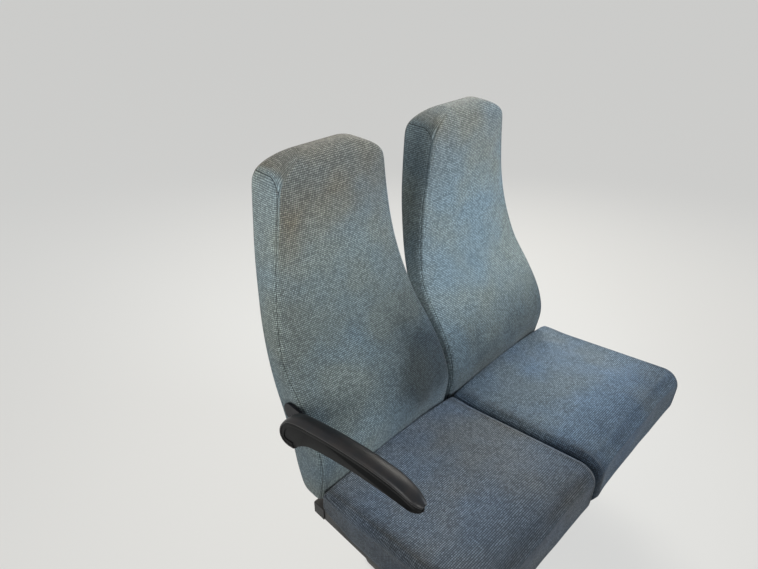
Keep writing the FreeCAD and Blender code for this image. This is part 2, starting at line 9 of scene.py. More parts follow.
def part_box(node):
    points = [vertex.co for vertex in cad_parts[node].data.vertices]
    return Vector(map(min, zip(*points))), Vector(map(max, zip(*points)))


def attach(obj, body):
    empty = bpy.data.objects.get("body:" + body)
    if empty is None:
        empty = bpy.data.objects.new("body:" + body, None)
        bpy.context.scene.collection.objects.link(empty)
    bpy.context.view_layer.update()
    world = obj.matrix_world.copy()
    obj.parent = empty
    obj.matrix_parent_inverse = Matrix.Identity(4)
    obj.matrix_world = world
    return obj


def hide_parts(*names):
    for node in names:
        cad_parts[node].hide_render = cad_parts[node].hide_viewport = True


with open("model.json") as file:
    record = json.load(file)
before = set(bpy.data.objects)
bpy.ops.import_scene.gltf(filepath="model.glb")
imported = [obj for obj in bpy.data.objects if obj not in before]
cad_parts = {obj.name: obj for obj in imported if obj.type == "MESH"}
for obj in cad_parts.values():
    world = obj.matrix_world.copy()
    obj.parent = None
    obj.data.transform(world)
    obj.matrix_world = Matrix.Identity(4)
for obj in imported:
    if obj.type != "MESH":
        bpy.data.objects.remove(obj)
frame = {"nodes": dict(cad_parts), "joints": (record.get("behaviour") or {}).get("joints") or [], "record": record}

bpy.ops.object.select_all(action="DESELECT")
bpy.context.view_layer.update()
scene = bpy.context.scene
scene.view_settings.view_transform = "Standard"
MM = 0.001


# Camera: a standing passenger's eye, on the aisle in front of the seat, looking down at it.
EYE = Vector((-0.684, -0.503, 1.479))
YAW = math.radians(45.06)
PITCH = math.radians(31.97)
ROLL = math.radians(0.27)
camera_data = bpy.data.cameras.new("camera")
camera_data.sensor_width = 36.0
camera_data.lens = 27.53
camera = bpy.data.objects.new("camera", camera_data)
camera.matrix_world = (Matrix.Translation(EYE) @ Matrix.Rotation(-YAW, 4, "Z")
                       @ Matrix.Rotation(math.radians(90) - PITCH, 4, "X") @ Matrix.Rotation(ROLL, 4, "Z"))
scene.collection.objects.link(camera)
scene.camera = camera


# Upholstery: flat-woven wool and nylon in a basket weave. Rows of pale blue-grey dashes, one to each
# crossing of two yarns, stand on a dark ground. Use has browned it near the tops and edges. Painted shade
# darkens it low on the backs, on the window back's boxing, on the cushions' fronts and aisle sides, and in
# the seams. The covers are sewn with bonded polyester thread.
YARN_PITCH = (3.9 * MM, 4.2 * MM)
YARN_WANDER = 41.7 * MM
# A single fibre is too fine to show, so fibres are drawn 0.8 mm wide.
FIBRE = 0.8 * MM
STREAK = 25 * MM
HUE_PATCH = 182 * MM
SOIL_PATCH = 111 * MM
# Grey that paints shade onto a cover where its painted_shade mark says.
PAINTED_SHADE_GREY = "#7c7f84"
# Grey that paints shade into the grooves of the seams.
SEAM_PAINTED_SHADE = "#565b60"
THREAD_TWIST = 0.524 * MM
# Length of a wave node's waves at a scale of 1, in metres.
WAVE = math.pi / 10
# Settings of a Mix node that blends two colours, and of one that multiplies them.
BLEND = {"data_type": "RGBA"}
TINT = {"data_type": "RGBA", "blend_type": "MULTIPLY"}


def linear(colour):
    """An sRGB hex colour as linear red, green, blue and alpha."""
    parts = [int(colour[i:i + 2], 16) / 255 for i in (1, 3, 5)]
    return [p / 12.92 if p <= 0.04045 else ((p + 0.055) / 1.055) ** 2.4 for p in parts] + [1.0]


def finish_named(name):
    """A new material with only its output and its main shader."""
    material = bpy.data.materials.new(name)
    material.use_nodes = True
    return material, material.node_tree, material.node_tree.nodes["Principled BSDF"]


def feed(node, *values, **named):
    """Gives a node its inputs, in their order or by name. Each is a value, another node's output, or
    another node, of which the first output in use counts."""
    sockets = [socket for socket in node.inputs if socket.enabled][:len(values)]
    sockets += [node.inputs[name.replace("_", " ")] for name in named]
    for socket, value in zip(sockets, [*values, *named.values()]):
        if isinstance(value, bpy.types.Node):
            value = next(output for output in value.outputs if output.enabled)
        if isinstance(value, bpy.types.NodeSocket):
            node.id_data.links.new(value, socket)
        else:
            socket.default_value = value
    return node


def add(tree, kind, *values, **named):
    """Adds a shader node. Names in lower case are its settings, and feed takes the rest."""
    made = tree.nodes.new("ShaderNode" + kind)
    for setting in [name for name in named if name.islower()]:
        setattr(made, setting, named.pop(setting))
    return feed(made, *values, **named)


def upholstery(name, pale, ground, soil, shades):
    """The woven cover, streaked between two shades. The piece's wear mark says where soil tints it in
    patches, its painted_shade mark where painted shade darkens it in patches, and its seam mark where
    painted shade darkens it in the seam's groove."""
    material, tree, shader = finish_named(name)
    cloth = add(tree, "UVMap", uv_map="cloth")
    place = add(tree, "TexCoord").outputs["Object"]
    wander = add(tree, "TexNoise", Vector=cloth, Scale=1 / YARN_WANDER, Detail=1.0).outputs["Color"]
    shift = add(tree, "VectorMath", wander, operation="SCALE", Scale=2.5 * MM)
    bent = add(tree, "VectorMath", cloth, shift, operation="ADD")
    split = add(tree, "SeparateXYZ", bent)
    waves = []
    for axis, pitch in zip("XY", YARN_PITCH):
        turns = add(tree, "Math", split.outputs[axis], 2 * math.pi / pitch, operation="MULTIPLY")
        waves.append(add(tree, "Math", turns, operation="COSINE"))
    crossing = add(tree, "Math", waves[0], 0.7, waves[1], operation="MULTIPLY_ADD")
    fibres = add(tree, "TexNoise", Vector=cloth, Scale=1 / FIBRE, Detail=2.0, Roughness=0.6)
    rough = add(tree, "Math", fibres, 2.4, crossing, operation="MULTIPLY_ADD")
    dashes = add(tree, "MapRange", rough, 0.0, 2.5)
    centred = add(tree, "VectorMath", bent, (YARN_PITCH[0] / 2, YARN_PITCH[1] / 2, 0), operation="ADD")
    cell = add(tree, "VectorMath", centred, (*YARN_PITCH, 1.0), operation="SNAP")
    lot = add(tree, "MapRange", add(tree, "TexWhiteNoise", Vector=cell), 0, 1, 0.6, 1.3)
    light = add(tree, "Mix", 1.0, linear(pale), lot, **TINT)
    colour = add(tree, "Mix", dashes, linear(ground), light, **BLEND)
    streaks = add(tree, "TexNoise", Vector=cloth, Scale=1 / STREAK, Detail=3.0, Roughness=0.7)
    colour = add(tree, "Mix", 1.0, colour, add(tree, "MapRange", streaks, 0.3, 0.7, *shades), **TINT)
    hues = add(tree, "TexNoise", Vector=place, Scale=1 / HUE_PATCH, Detail=2.0, Roughness=0.5)
    hues = add(tree, "MapRange", hues, 0.38, 0.62)
    hue = add(tree, "Mix", hues, linear("#f0f8ff"), linear("#fff8ec"), **BLEND)
    colour = add(tree, "Mix", 1.0, colour, hue, **TINT)
    clouds = add(tree, "TexNoise", Vector=place, Scale=1 / SOIL_PATCH, Detail=4.0, Roughness=0.6)
    # Soil tints the cover where it is worn, and painted shade darkens it where the painted_shade mark says.
    for attribute, tint, patchy in (("wear", soil, (0.2, 0.7, 0.7, 1.15)),
                                    ("painted_shade", PAINTED_SHADE_GREY, (0.3, 0.65, 0.8, 1.15))):
        share = add(tree, "Attribute", attribute_name=attribute).outputs["Fac"]
        patches = add(tree, "MapRange", clouds, *patchy)
        amount = add(tree, "Math", patches, share, operation="MULTIPLY", use_clamp=True)
        colour = add(tree, "Mix", amount, colour, linear(tint), **TINT)
    # Painted shade darkens the cover in its seams' grooves.
    seam = add(tree, "Attribute", attribute_name="seam").outputs["Fac"]
    colour = add(tree, "Mix", add(tree, "MapRange", seam, 0.55, 0.95), colour, linear(SEAM_PAINTED_SHADE), **TINT)
    relief = add(tree, "Math", dashes, 0.8, fibres, operation="MULTIPLY_ADD")
    bump = add(tree, "Bump", Strength=0.45, Distance=0.6 * MM, Height=relief)
    feed(shader, Base_Color=colour, Roughness=0.92, Specular_IOR_Level=0.25, Normal=bump)
    feed(shader, Sheen_Weight=0.12, Sheen_Roughness=0.45)
    return material


# The thread is darker than the cloth and a little glossier, with a fine twist.
thread_finish, tree, shader = finish_named("polyester_thread")
place = add(tree, "TexCoord").outputs["Object"]
spin = add(tree, "TexWave", Vector=place, Scale=WAVE / THREAD_TWIST, Distortion=1.0,
           bands_direction="DIAGONAL").outputs["Fac"]
twist = add(tree, "Mix", spin, linear("#2c3136"), linear("#4e565c"), **BLEND)
feed(shader, Base_Color=twist, Roughness=0.6)


# Backs: moulded foam in a sewn cover. One panel goes up the front, over the top and down the rear,
# with a boxing strip in each side. The front seams are topstitched, and the pressure of the foam
# swells each panel between its seams, which a short cloth simulation works out.
back_low, back_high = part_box("back_aisle")
BACK_HEIGHT = back_high.z - back_low.z
CREASE_Y = 170 * MM
# Share of the height; front face and rear face from the crease, half width; mm.
BACK_ROWS = np.array([
    (0.000, 11, 78, 213),
    (0.075, 2, 92, 215),
    (0.174, -3, 107, 215),
    (0.272, 22, 130, 213),
    (0.356, 64, 156, 211),
    (0.440, 112, 178, 207),
    (0.524, 137, 204, 196),
    (0.622, 154, 228, 181),
    (0.720, 163, 245, 168),
    (0.818, 165, 255, 156),
    (0.908, 165, 260, 147),
    (1.000, 161, 263, 138),
])
TOP_CORNER = 70 * MM
TOP_CORNER_RUN = 78 * MM
TOP_CORNER_POWER = 3.1
TOP_BROW = 42 * MM
TOP_NAPE = 54 * MM
BASE_TOE = 10 * MM
BASE_HEEL = 22 * MM
SEAM_EDGE = 17 * MM
PANEL_CROWN = 7 * MM
# The most of the thickness that a seam's round takes, and the rear panel's share of the crown.
SEAM_EDGE_SHARE = 0.42
REAR_CROWN_SHARE = 0.7
LEVEL_STEP = 14 * MM
BOXING_TOP = 36 * MM
BOXING_ROUND = 36 * MM
BOXING_DROP = 27 * MM
# Angles round an edge, from the panel to the side: a topstitch at 8 and the seam at 45 degrees.
FRONT_ARC = (0, 8, 16, 26, 36, 45, 54, 66, 78, 90)
REAR_ARC = (0, 15, 30, 37, 45, 53, 66, 78, 90)
HALF_COLUMNS = 10
SIDE_COLUMNS = 4
# How far the foam may swell each panel, how deep seams and stitches lie, the foam's unevenness, and how
# far the seams are shaded.
FRONT_SWELL = 7 * MM
REAR_SWELL = 4 * MM
SIDE_SWELL = 1.5 * MM
SEAM_DEPTH = 1.1 * MM
STITCH_DEPTH = 0.7 * MM
UNEVEN_DEPTH = 3.5 * MM
UNEVEN_LENGTH = 110 * MM
STITCH_LENGTH = 4.2 * MM
STITCH_GAP = 2.2 * MM
STITCH_THICK = 0.9 * MM
SEAM_MARK = 0.94


def row_at(share):
    """Front, rear and half width at a share of the height, on smooth curves through the rows."""
    shares = BACK_ROWS[:, 0]
    slopes = np.gradient(BACK_ROWS[:, 1:], shares, axis=0)
    k = int(np.clip(np.searchsorted(shares, share) - 1, 0, len(shares) - 2))
    span = shares[k + 1] - shares[k]
    t = (share - shares[k]) / span
    return ((1 + 2 * t) * (1 - t) ** 2 * BACK_ROWS[k, 1:] + t * (1 - t) ** 2 * span * slopes[k]
            + t * t * (3 - 2 * t) * BACK_ROWS[k + 1, 1:] + t * t * (t - 1) * span * slopes[k + 1]) * MM


def quarter(distance, depth, run):
    """How far a quarter round, depth long and run high, has drawn in at a distance from its end."""
    return run * (1 - math.sqrt(1 - max(0.0, 1 - distance / depth) ** 2))


def ease(value, low, high):
    """0 below low, 1 above high, and a smooth rise between them."""
    t = np.clip((value - low) / (high - low), 0, 1)
    return t * t * (3 - 2 * t)


def back_loop(level):
    """The cover's points round one level, from the front's middle towards +X and back again."""
    front, rear, half = row_at(level / BACK_HEIGHT)
    under_top = BACK_HEIGHT - level
    half -= TOP_CORNER_RUN * max(0.0, 1 - under_top / TOP_CORNER) ** TOP_CORNER_POWER
    half -= quarter(level, BASE_TOE, BASE_TOE / 2)
    front += quarter(under_top, TOP_BROW, TOP_BROW) + quarter(level, BASE_TOE, BASE_TOE)
    rear -= quarter(under_top, TOP_NAPE, TOP_NAPE) + quarter(level, BASE_HEEL, BASE_HEEL)
    edge = min(SEAM_EDGE, SEAM_EDGE_SHARE * (rear - front))
    points = [(u * (half - edge), front) for u in np.linspace(0, 1, HALF_COLUMNS, endpoint=False)]
    for angle in np.radians(FRONT_ARC):
        points.append((half - edge + edge * math.sin(angle), front + edge * (1 - math.cos(angle))))
    for v in np.linspace(0, 1, SIDE_COLUMNS + 2)[1:-1]:
        points.append((half, front + edge + v * (rear - front - 2 * edge)))
    for angle in np.radians(REAR_ARC[::-1]):
        points.append((half - edge + edge * math.sin(angle), rear - edge * (1 - math.cos(angle))))
    points += [(u * (half - edge), rear) for u in np.linspace(1, 0, HALF_COLUMNS + 1)[1:]]
    right = np.array(points)
    loop = np.vstack([right, right[1:-1][::-1] * (-1, 1)])
    crown = PANEL_CROWN * min(1.0, under_top / TOP_CORNER, level / BASE_HEEL)
    inside = np.clip(1 - (loop[:, 0] / (half - edge / 2)) ** 2, 0, 1)
    loop[:, 1] += np.where(loop[:, 1] < (front + rear) / 2, -crown, crown * REAR_CROWN_SHARE) * inside
    return np.column_stack([loop, np.full(len(loop), level)])


def new_piece(name, points, faces):
    """A mesh object made from points and faces."""
    mesh = bpy.data.meshes.new(name)
    mesh.from_pydata([tuple(p) for p in points], [], faces)
    piece = bpy.data.objects.new(name, mesh)
    scene.collection.objects.link(piece)
    return piece


def closed_form(name, loops, corners):
    """A closed mesh through stacked loops. Each end is a patch between the loop's four corners."""
    count = loops.shape[1]
    points = list(loops.reshape(-1, 3))
    faces = []
    for k in range(len(loops) - 1):
        for i in range(count):
            j = (i + 1) % count
            faces.append((k * count + i, k * count + j, (k + 1) * count + j, (k + 1) * count + i))
    for k, turn in ((0, -1), (len(loops) - 1, 1)):
        ids = [k * count + i % count for i in range(corners[0], corners[0] + count + 1)]
        n, m = corners[1] - corners[0], corners[2] - corners[1]
        near, right = ids[:n + 1], ids[n:n + m + 1]
        far, left = ids[n + m:2 * n + m + 1][::-1], ids[2 * n + m:][::-1]
        grid = [near]
        for row in range(1, m):
            v = row / m
            line = [left[row]]
            for column in range(1, n):
                u = column / n
                place = ((1 - v) * points[near[column]] + v * points[far[column]]
                         + (1 - u) * points[left[row]] + u * points[right[row]]
                         - (1 - u) * (1 - v) * points[near[0]] - u * (1 - v) * points[near[-1]]
                         - (1 - u) * v * points[far[0]] - u * v * points[far[-1]])
                line.append(len(points))
                points.append(place)
            grid.append(line + [right[row]])
        grid.append(far)
        for lower, upper in zip(grid, grid[1:]):
            for column in range(n):
                quad = (lower[column], lower[column + 1], upper[column + 1], upper[column])
                faces.append(quad[::turn])
    return new_piece(name, points, faces)


def select_only(piece):
    """Leaves one object selected and active, for the operators that follow."""
    bpy.ops.object.select_all(action="DESELECT")
    piece.select_set(True)
    bpy.context.view_layer.objects.active = piece


def places(piece):
    """The piece's vertex positions as an array."""
    flat = np.empty(len(piece.data.vertices) * 3)
    piece.data.vertices.foreach_get("co", flat)
    return flat.reshape(-1, 3)


def put(piece, points):
    """Writes vertex positions back."""
    piece.data.vertices.foreach_set("co", np.asarray(points, float).ravel())
    piece.data.update()


def normals(piece):
    """The piece's vertex normals as an array."""
    return np.array([v.normal[:] for v in piece.data.vertices])


def swell(piece, limits):
    """Lets foam pressure push the cover out. limits is how far each vertex may go; 0 holds it."""
    held = piece.vertex_groups.new(name="held")
    held.add([int(i) for i in np.flatnonzero(limits == 0)], 1.0, "REPLACE")
    cloth = piece.modifiers.new("cover", "CLOTH")
    cloth.settings.quality = 5
    cloth.settings.mass = 0.4
    cloth.settings.use_pressure = True
    cloth.settings.uniform_pressure_force = 4
    cloth.settings.effector_weights.gravity = 0
    cloth.settings.vertex_group_mass = "held"
    before = places(piece)
    for moment in range(1, 21):
        scene.frame_set(moment)
    settled = piece.evaluated_get(bpy.context.evaluated_depsgraph_get())
    move = places(settled) - before
    far = np.maximum(np.linalg.norm(move, axis=1), 1e-9)
    share = limits * np.tanh(far / np.maximum(limits, 1e-9)) / far
    piece.modifiers.remove(cloth)
    piece.vertex_groups.remove(held)
    scene.frame_set(1)
    put(piece, before + move * share[:, None])


def press(piece, ids, depth):
    """Draws vertices in along their normals, as a seam or a row of stitches does."""
    points = places(piece)
    points[ids] -= normals(piece)[ids] * depth
    put(piece, points)


def ripple(piece, depth, across, limits):
    """Moves a cover in and out a little, as uneven foam does. limits says where, from 0 to 1."""
    points = places(piece)
    waves = np.array([noise.fractal(Vector(p) / across, 0.6, 2.0, 2) for p in points])
    put(piece, points + normals(piece) * (waves * depth * limits)[:, None])


def mark(piece, name, values):
    """Stores one number per vertex, which the cover's material reads."""
    data = piece.data.attributes.new(name, "FLOAT", "POINT").data
    data.foreach_set("value", np.asarray(values, np.float32))


def scale_mark(piece, name, share):
    """Scales one of the numbers that mark stored."""
    data = piece.data.attributes[name].data
    values = np.empty(len(data), np.float32)
    data.foreach_get("value", values)
    data.foreach_set("value", values * share)


def smooth_over(piece, levels):
    """Applies a subdivision surface and smooth shading."""
    select_only(piece)
    surface = piece.modifiers.new("smooth", "SUBSURF")
    surface.levels = levels
    surface.render_levels = levels
    bpy.ops.object.modifier_apply(modifier="smooth")
    bpy.ops.object.shade_smooth()


def distances(line):
    """How far along a line each of its points lies."""
    return np.concatenate([[0], np.cumsum(np.linalg.norm(np.diff(line, axis=0), axis=1))])


def on_line(line, along, distance):
    """The place at one distance on a line, whose points lie at the distances in along."""
    return np.array([np.interp(distance, along, line[:, axis]) for axis in range(3)])


def beads(name, lines, facing, size, gap):
    """Small rounded bodies of one size (along, across, high) in a row on each line: a seam's stitches,
    or with a gap below 0 a weld's ripples. facing gives the way up at each point of a line."""
    length, wide, high = size
    bpy.ops.mesh.primitive_uv_sphere_add(segments=8, ring_count=5, radius=1)
    bead = bpy.context.object
    shape = places(bead) * (length / 2, wide / 2, high / 2)
    quads = [tuple(p.vertices) for p in bead.data.polygons]
    bpy.data.objects.remove(bead)
    all_points, all_faces = [], []
    for line, up in zip(lines, facing):
        along = distances(line)
        for start in np.arange(max(gap, 0.0), along[-1] - length, length + gap):
            middle = start + length / 2
            centre = on_line(line, along, middle)
            ahead = on_line(line, along, middle + length / 2) - centre
            lift = on_line(up, along, middle)
            ahead /= np.linalg.norm(ahead)
            side = np.cross(lift, ahead)
            side /= np.linalg.norm(side)
            turn = np.column_stack([ahead, side, np.cross(ahead, side)])
            base = len(all_points)
            all_points += [centre + lift * high * 0.25 + turn @ p for p in shape]
            all_faces += [tuple(base + i for i in quad) for quad in quads]
    row = new_piece(name, all_points, all_faces)
    select_only(row)
    bpy.ops.object.shade_smooth()
    return row


def sew(name, piece, rows, length, thick, gap):
    """Stitches along rows of a piece's vertices, lying in its cover."""
    points, facing = places(piece), normals(piece)
    size = (length, thick, thick)
    return beads(name, [points[row] for row in rows], [facing[row] for row in rows], size, gap)


def lay_cloth(piece, cuts, cut_of_face):
    """The cover's UV map in metres. cuts are arrays of places in the cloth, one place to a vertex;
    each face takes the cut that cut_of_face names."""
    layer = piece.data.uv_layers.new(name="cloth")
    for face in piece.data.polygons:
        cut = cuts[cut_of_face[face.index]]
        for corner, vertex in zip(face.loop_indices, face.vertices):
            layer.data[corner].uv = cut[vertex]


# Levels lie close together round the base, at the boxing's upper seam and round the top.
levels = [BASE_HEEL * (1 - math.cos(math.radians(a))) for a in (0, 30, 50, 70)]
corner_level = BACK_HEIGHT - TOP_CORNER
levels += list(np.linspace(BASE_HEEL, corner_level, round((corner_level - BASE_HEEL) / LEVEL_STEP)))
seam_angle = math.degrees(math.acos(1 - BOXING_TOP / TOP_CORNER))
corner_angles = (80, 71, seam_angle + 3.5, seam_angle, seam_angle - 3.5, 50, 43, 36, 29, 22, 15, 8, 0)
seam_row = len(levels) + corner_angles.index(seam_angle)
levels += [BACK_HEIGHT - TOP_CORNER * (1 - math.cos(math.radians(a))) for a in corner_angles]
back_loops = np.array([back_loop(level) for level in levels])
level_count, loop_count = back_loops.shape[:2]
front_seam = HALF_COLUMNS + FRONT_ARC.index(45)
top_stitch = HALF_COLUMNS + FRONT_ARC.index(8)
rear_seam = loop_count // 2 - HALF_COLUMNS - REAR_ARC.index(45)
boxing_columns = [i for i in range(front_seam + 1, rear_seam)]
boxing_columns += [loop_count - i for i in boxing_columns]
# The boxing's upper seam runs level from the rear and turns down into the front seam on a round.
seam_start = back_loops[seam_row, front_seam, 1]
for i in boxing_columns + [front_seam, loop_count - front_seam]:
    column = back_loops[:, i].copy()
    away = column[seam_row, 1] - seam_start
    rows = (0, seam_row - 10, seam_row, level_count - 1)
    fade = np.interp(range(level_count), rows, (0, 0, 1, 0))
    lowered = column[:, 2] - quarter(away, BOXING_ROUND, BOXING_DROP) * fade
    for axis in range(3):
        back_loops[:, i, axis] = np.interp(lowered, column[:, 2], column[:, axis])


def at(level, column):
    """The vertex of a level and a column of the back."""
    return level * loop_count + column % loop_count


back = closed_form("back_aisle_cover", back_loops, (-front_seam, front_seam, loop_count // 2 - front_seam))
limits = np.zeros(len(back.data.vertices))
for k in range(3, seam_row - 1):
    for i in range(loop_count):
        near = min(i, loop_count - i)
        if near < top_stitch:
            limits[at(k, i)] = FRONT_SWELL * (1.05 - (near / top_stitch) ** 4)
        elif near > loop_count // 2 - HALF_COLUMNS:
            limits[at(k, i)] = REAR_SWELL
        elif front_seam + 4 < near < rear_seam - 4:
            limits[at(k, i)] = SIDE_SWELL
swell(back, limits)
ripple(back, UNEVEN_DEPTH, UNEVEN_LENGTH, np.minimum(limits / REAR_SWELL, 1))
seam_ids = [at(k, i) for k in range(1, seam_row + 1) for i in (front_seam, -front_seam)]
seam_ids += [at(k, i) for k in range(1, seam_row + 1) for i in (rear_seam, -rear_seam)]
seam_ids += [at(seam_row, i) for i in boxing_columns]
stitch_ids = [at(k, i) for k in range(1, seam_row) for i in (top_stitch, -top_stitch)]
press(back, seam_ids, SEAM_DEPTH)
press(back, stitch_ids, STITCH_DEPTH)
# The seams of the back get painted shade.
seam_mark = np.zeros(len(back.data.vertices))
seam_mark[seam_ids] = SEAM_MARK
mark(back, "seam", seam_mark)
points = places(back)
across, rise = np.abs(points[:, 0]), points[:, 2] / BACK_HEIGHT
half_here = np.interp(rise, BACK_ROWS[:, 0], BACK_ROWS[:, 3]) * MM
beside_seam = np.exp(-((across - half_here + 0.035) / 0.03) ** 2)
off_side = 1 - 0.85 * ease(np.abs(normals(back)[:, 0]), 0.4, 0.8)
mark(back, "wear", (0.3 * beside_seam * ease(rise, 0.3, 0.7) + 1.2 * ease(rise, 0.66, 0.98)) * off_side)
# Painted shade darkens the lower half, most of all at one side of the lumbar swell, and a painted
# highlight lightens it low on the other side.
in_front = points[:, 1] < (points[:, 1].min() + points[:, 1].max()) / 2
lumbar_flank_shade = np.exp(-((points[:, 0] - 0.15) / 0.11) ** 2 - ((rise - 0.26) / 0.13) ** 2)
painted_highlight = np.exp(-((points[:, 0] + 0.08) / 0.07) ** 2 - ((rise - 0.2) / 0.16) ** 2)
mark(back, "painted_shade", 0.42 * (1 - ease(rise, 0.42, 0.85)) + lumbar_flank_shade * in_front - 0.3 * painted_highlight)
ring = np.linalg.norm(np.diff(back_loops, axis=1, append=back_loops[:, :1]), axis=2)
run = np.cumsum(ring, axis=1) - ring
run = np.where(np.arange(loop_count) > loop_count // 2, run - ring.sum(axis=1)[:, None], run).reshape(-1)


def length_up(column, towards):
    """Distances along one column of the back's mesh, from its base or from its top."""
    return distances(back_loops[::towards, column])[::towards]


# The cloth is cut in four: front, rear, the boxing, and the top with the round corners beside it.
on_loops = level_count * loop_count
front_cut, rear_cut, boxing_cut, top_cut = (points[:, (0, 2)].copy(), points[:, (0, 2)].copy(),
                                            points[:, (1, 2)], points[:, (0, 1)].copy())
front_cut[:on_loops] = np.column_stack([run, np.repeat(length_up(0, 1), loop_count)])
rear_cut[:on_loops] = np.column_stack([run, np.repeat(length_up(loop_count // 2, 1), loop_count)])
from_middle = np.abs(back_loops[-1, front_seam + 6, 0]) + length_up(front_seam + 6, -1)
below_top = on_loops - loop_count
top_cut[:below_top, 0] = (np.sign(back_loops[:-1, :, 0]) * from_middle[:-1, None]).reshape(-1)
cut_of_face = []
for face in back.data.polygons:
    spots = np.array(face.vertices)
    near = np.minimum(spots % loop_count, loop_count - spots % loop_count)
    if face.index >= (level_count - 1) * loop_count:
        cut_of_face.append(3)
    elif near.max() <= front_seam or near.min() >= rear_seam:
        cut_of_face.append(0 if near.max() <= front_seam else 1)
    else:
        cut_of_face.append(2 if spots.max() // loop_count <= seam_row else 3)
lay_cloth(back, (front_cut, rear_cut, boxing_cut, top_cut), cut_of_face)
smooth_over(back, 2)
stitch_rows = [[at(k, i) for k in range(3, seam_row)] for i in (top_stitch, -top_stitch)]
back_thread = sew("back_aisle_stitches", back, stitch_rows, STITCH_LENGTH, STITCH_THICK, STITCH_GAP)
back_fabric = upholstery("basket_weave_backs", "#98a9ae", "#4a555c", "#ecd4c2", (0.92, 1.06))


def fitted(master, name, place, finish):
    """A copy of a cover or of its stitches, in its place on the bench."""
    piece = master.copy()
    piece.data = master.data.copy()
    piece.name = name
    scene.collection.objects.link(piece)
    piece.data.transform(Matrix.Translation(place))
    piece.data.materials.append(finish)
    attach(piece, "bench")
    return piece


for seat in ("aisle", "window"):
    low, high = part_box("back_" + seat)
    place = Vector(((low.x + high.x) / 2, CREASE_Y, low.z))
    cover = fitted(back, "new_back_%s_cover" % seat, place, back_fabric)
    fitted(back_thread, "new_back_%s_stitches" % seat, place, thread_finish)
    if seat == "window":
        # This back is less soiled. Painted shade darkens it at its foot, and high on the boxing where the
        # other back shades it.
        scale_mark(cover, "wear", 0.5)
        rise = (places(cover)[:, 2] - low.z) / BACK_HEIGHT
        painted_shade = 0.72 * (1 - ease(rise, 0.18, 0.42))
        painted_shade += 0.6 * ease(-normals(cover)[:, 0], 0.3, 0.7) * ease(rise, 0.4, 0.62)
        cover.data.attributes["painted_shade"].data.foreach_set("value", painted_shade.astype(np.float32))
    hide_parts("back_" + seat)
bpy.data.objects.remove(back)
bpy.data.objects.remove(back_thread)


# Cushions: foam on the seat board in a sewn cover, with a waterfall front and a tail that rises
# under the back. The top panel runs over the front, and a boxing strip closes each side.
cushion_low, cushion_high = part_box("cushion_aisle")
CUSHION_HALF = (cushion_high.x - cushion_low.x) / 2
CUSHION_CROWN = 20 * MM
CUSHION_EDGE = 20 * MM
CUSHION_HEM = 6 * MM
CUSHION_TAIL = 0.35
# The crown fades out before its ends, the sides' edges tighten along the tail, and the crown stands
# above the lower part only; y from the crease, and height.
CROWN_FRONT = -400 * MM
CROWN_REAR = 60 * MM
CROWN_FADE = 100 * MM
TAIL_STRETCH = (-90 * MM, -20 * MM)
LOWER_PART = 400 * MM
# How far the foam may swell the top panel, a side wall and that wall's rim.
TOP_SWELL = 9 * MM
WALL_SWELL = 2 * MM
RIM_SWELL = 1 * MM
# The hem below the board waves and sags in front; y from the crease, and waves to a metre.
HEM_TOP = 395 * MM
HEM_FRONT = -330 * MM
HEM_WAVES = 14
HEM_WAVE = 2.5 * MM
HEM_SAG = 3 * MM
CUSHION_UNEVEN_DEPTH = 4 * MM
CUSHION_UNEVEN_LENGTH = 120 * MM
CUSHION_SEAM_DEPTH = 0.7 * MM
CUSHION_STITCH_DEPTH = 0.2 * MM
CUSHION_STITCH_THICK = 0.8 * MM
# How much painted shade the cushion's seams take.
CUSHION_SEAM_MARK = 0.72
# y from the crease, z, corner radius, steps round the corner, steps to the next corner; mm.
CUSHION_CORNERS = (
    (-415, 353, 26, 6, 4),
    (-415, 484, 43, 10, 26),
    (-3, 427, 14, 6, 6),
    (3, 375, 22, 6, 6),
    (-90, 353, 60, 6, 16),
)


def rounded_outline(corners, inset=0.0):
    """A closed outline through corners (a, b, radius, steps round it, steps after it), in mm: arcs
    joined by straight runs, drawn in by inset. It goes clockwise and comes out in metres."""
    spots = np.array([c[:2] for c in corners], float)
    count = len(spots)
    arcs = []
    for i in range(count):
        before = spots[i - 1] - spots[i]
        after = spots[(i + 1) % count] - spots[i]
        before, after = before / np.linalg.norm(before), after / np.linalg.norm(after)
        half = math.acos(float(np.clip(before @ after, -1, 1))) / 2
        inward = (before + after) / np.linalg.norm(before + after)
        convex = before[0] * after[1] - before[1] * after[0] > 0
        radius = max(corners[i][2] + (-inset if convex else inset), 0.6)
        corner = spots[i] + inward * (inset if convex else -inset) / math.sin(half)
        centre = corner + inward * radius / math.sin(half)
        start = corner + before * radius / math.tan(half)
        end = corner + after * radius / math.tan(half)
        a0 = math.atan2(*(start - centre)[::-1])
        turn = math.atan2(*(end - centre)[::-1]) - a0
        turn = (turn + math.pi) % (2 * math.pi) - math.pi
        angles = a0 + turn * np.linspace(0, 1, corners[i][3] + 1)
        arcs.append(centre + radius * np.column_stack([np.cos(angles), np.sin(angles)]))
    line = []
    for i in range(count):
        line.append(arcs[i])
        following = arcs[(i + 1) % count][0]
        for t in np.linspace(0, 1, corners[i][4] + 1)[1:-1]:
            line.append((arcs[i][-1] * (1 - t) + following * t)[None])
    return np.vstack(line) * MM


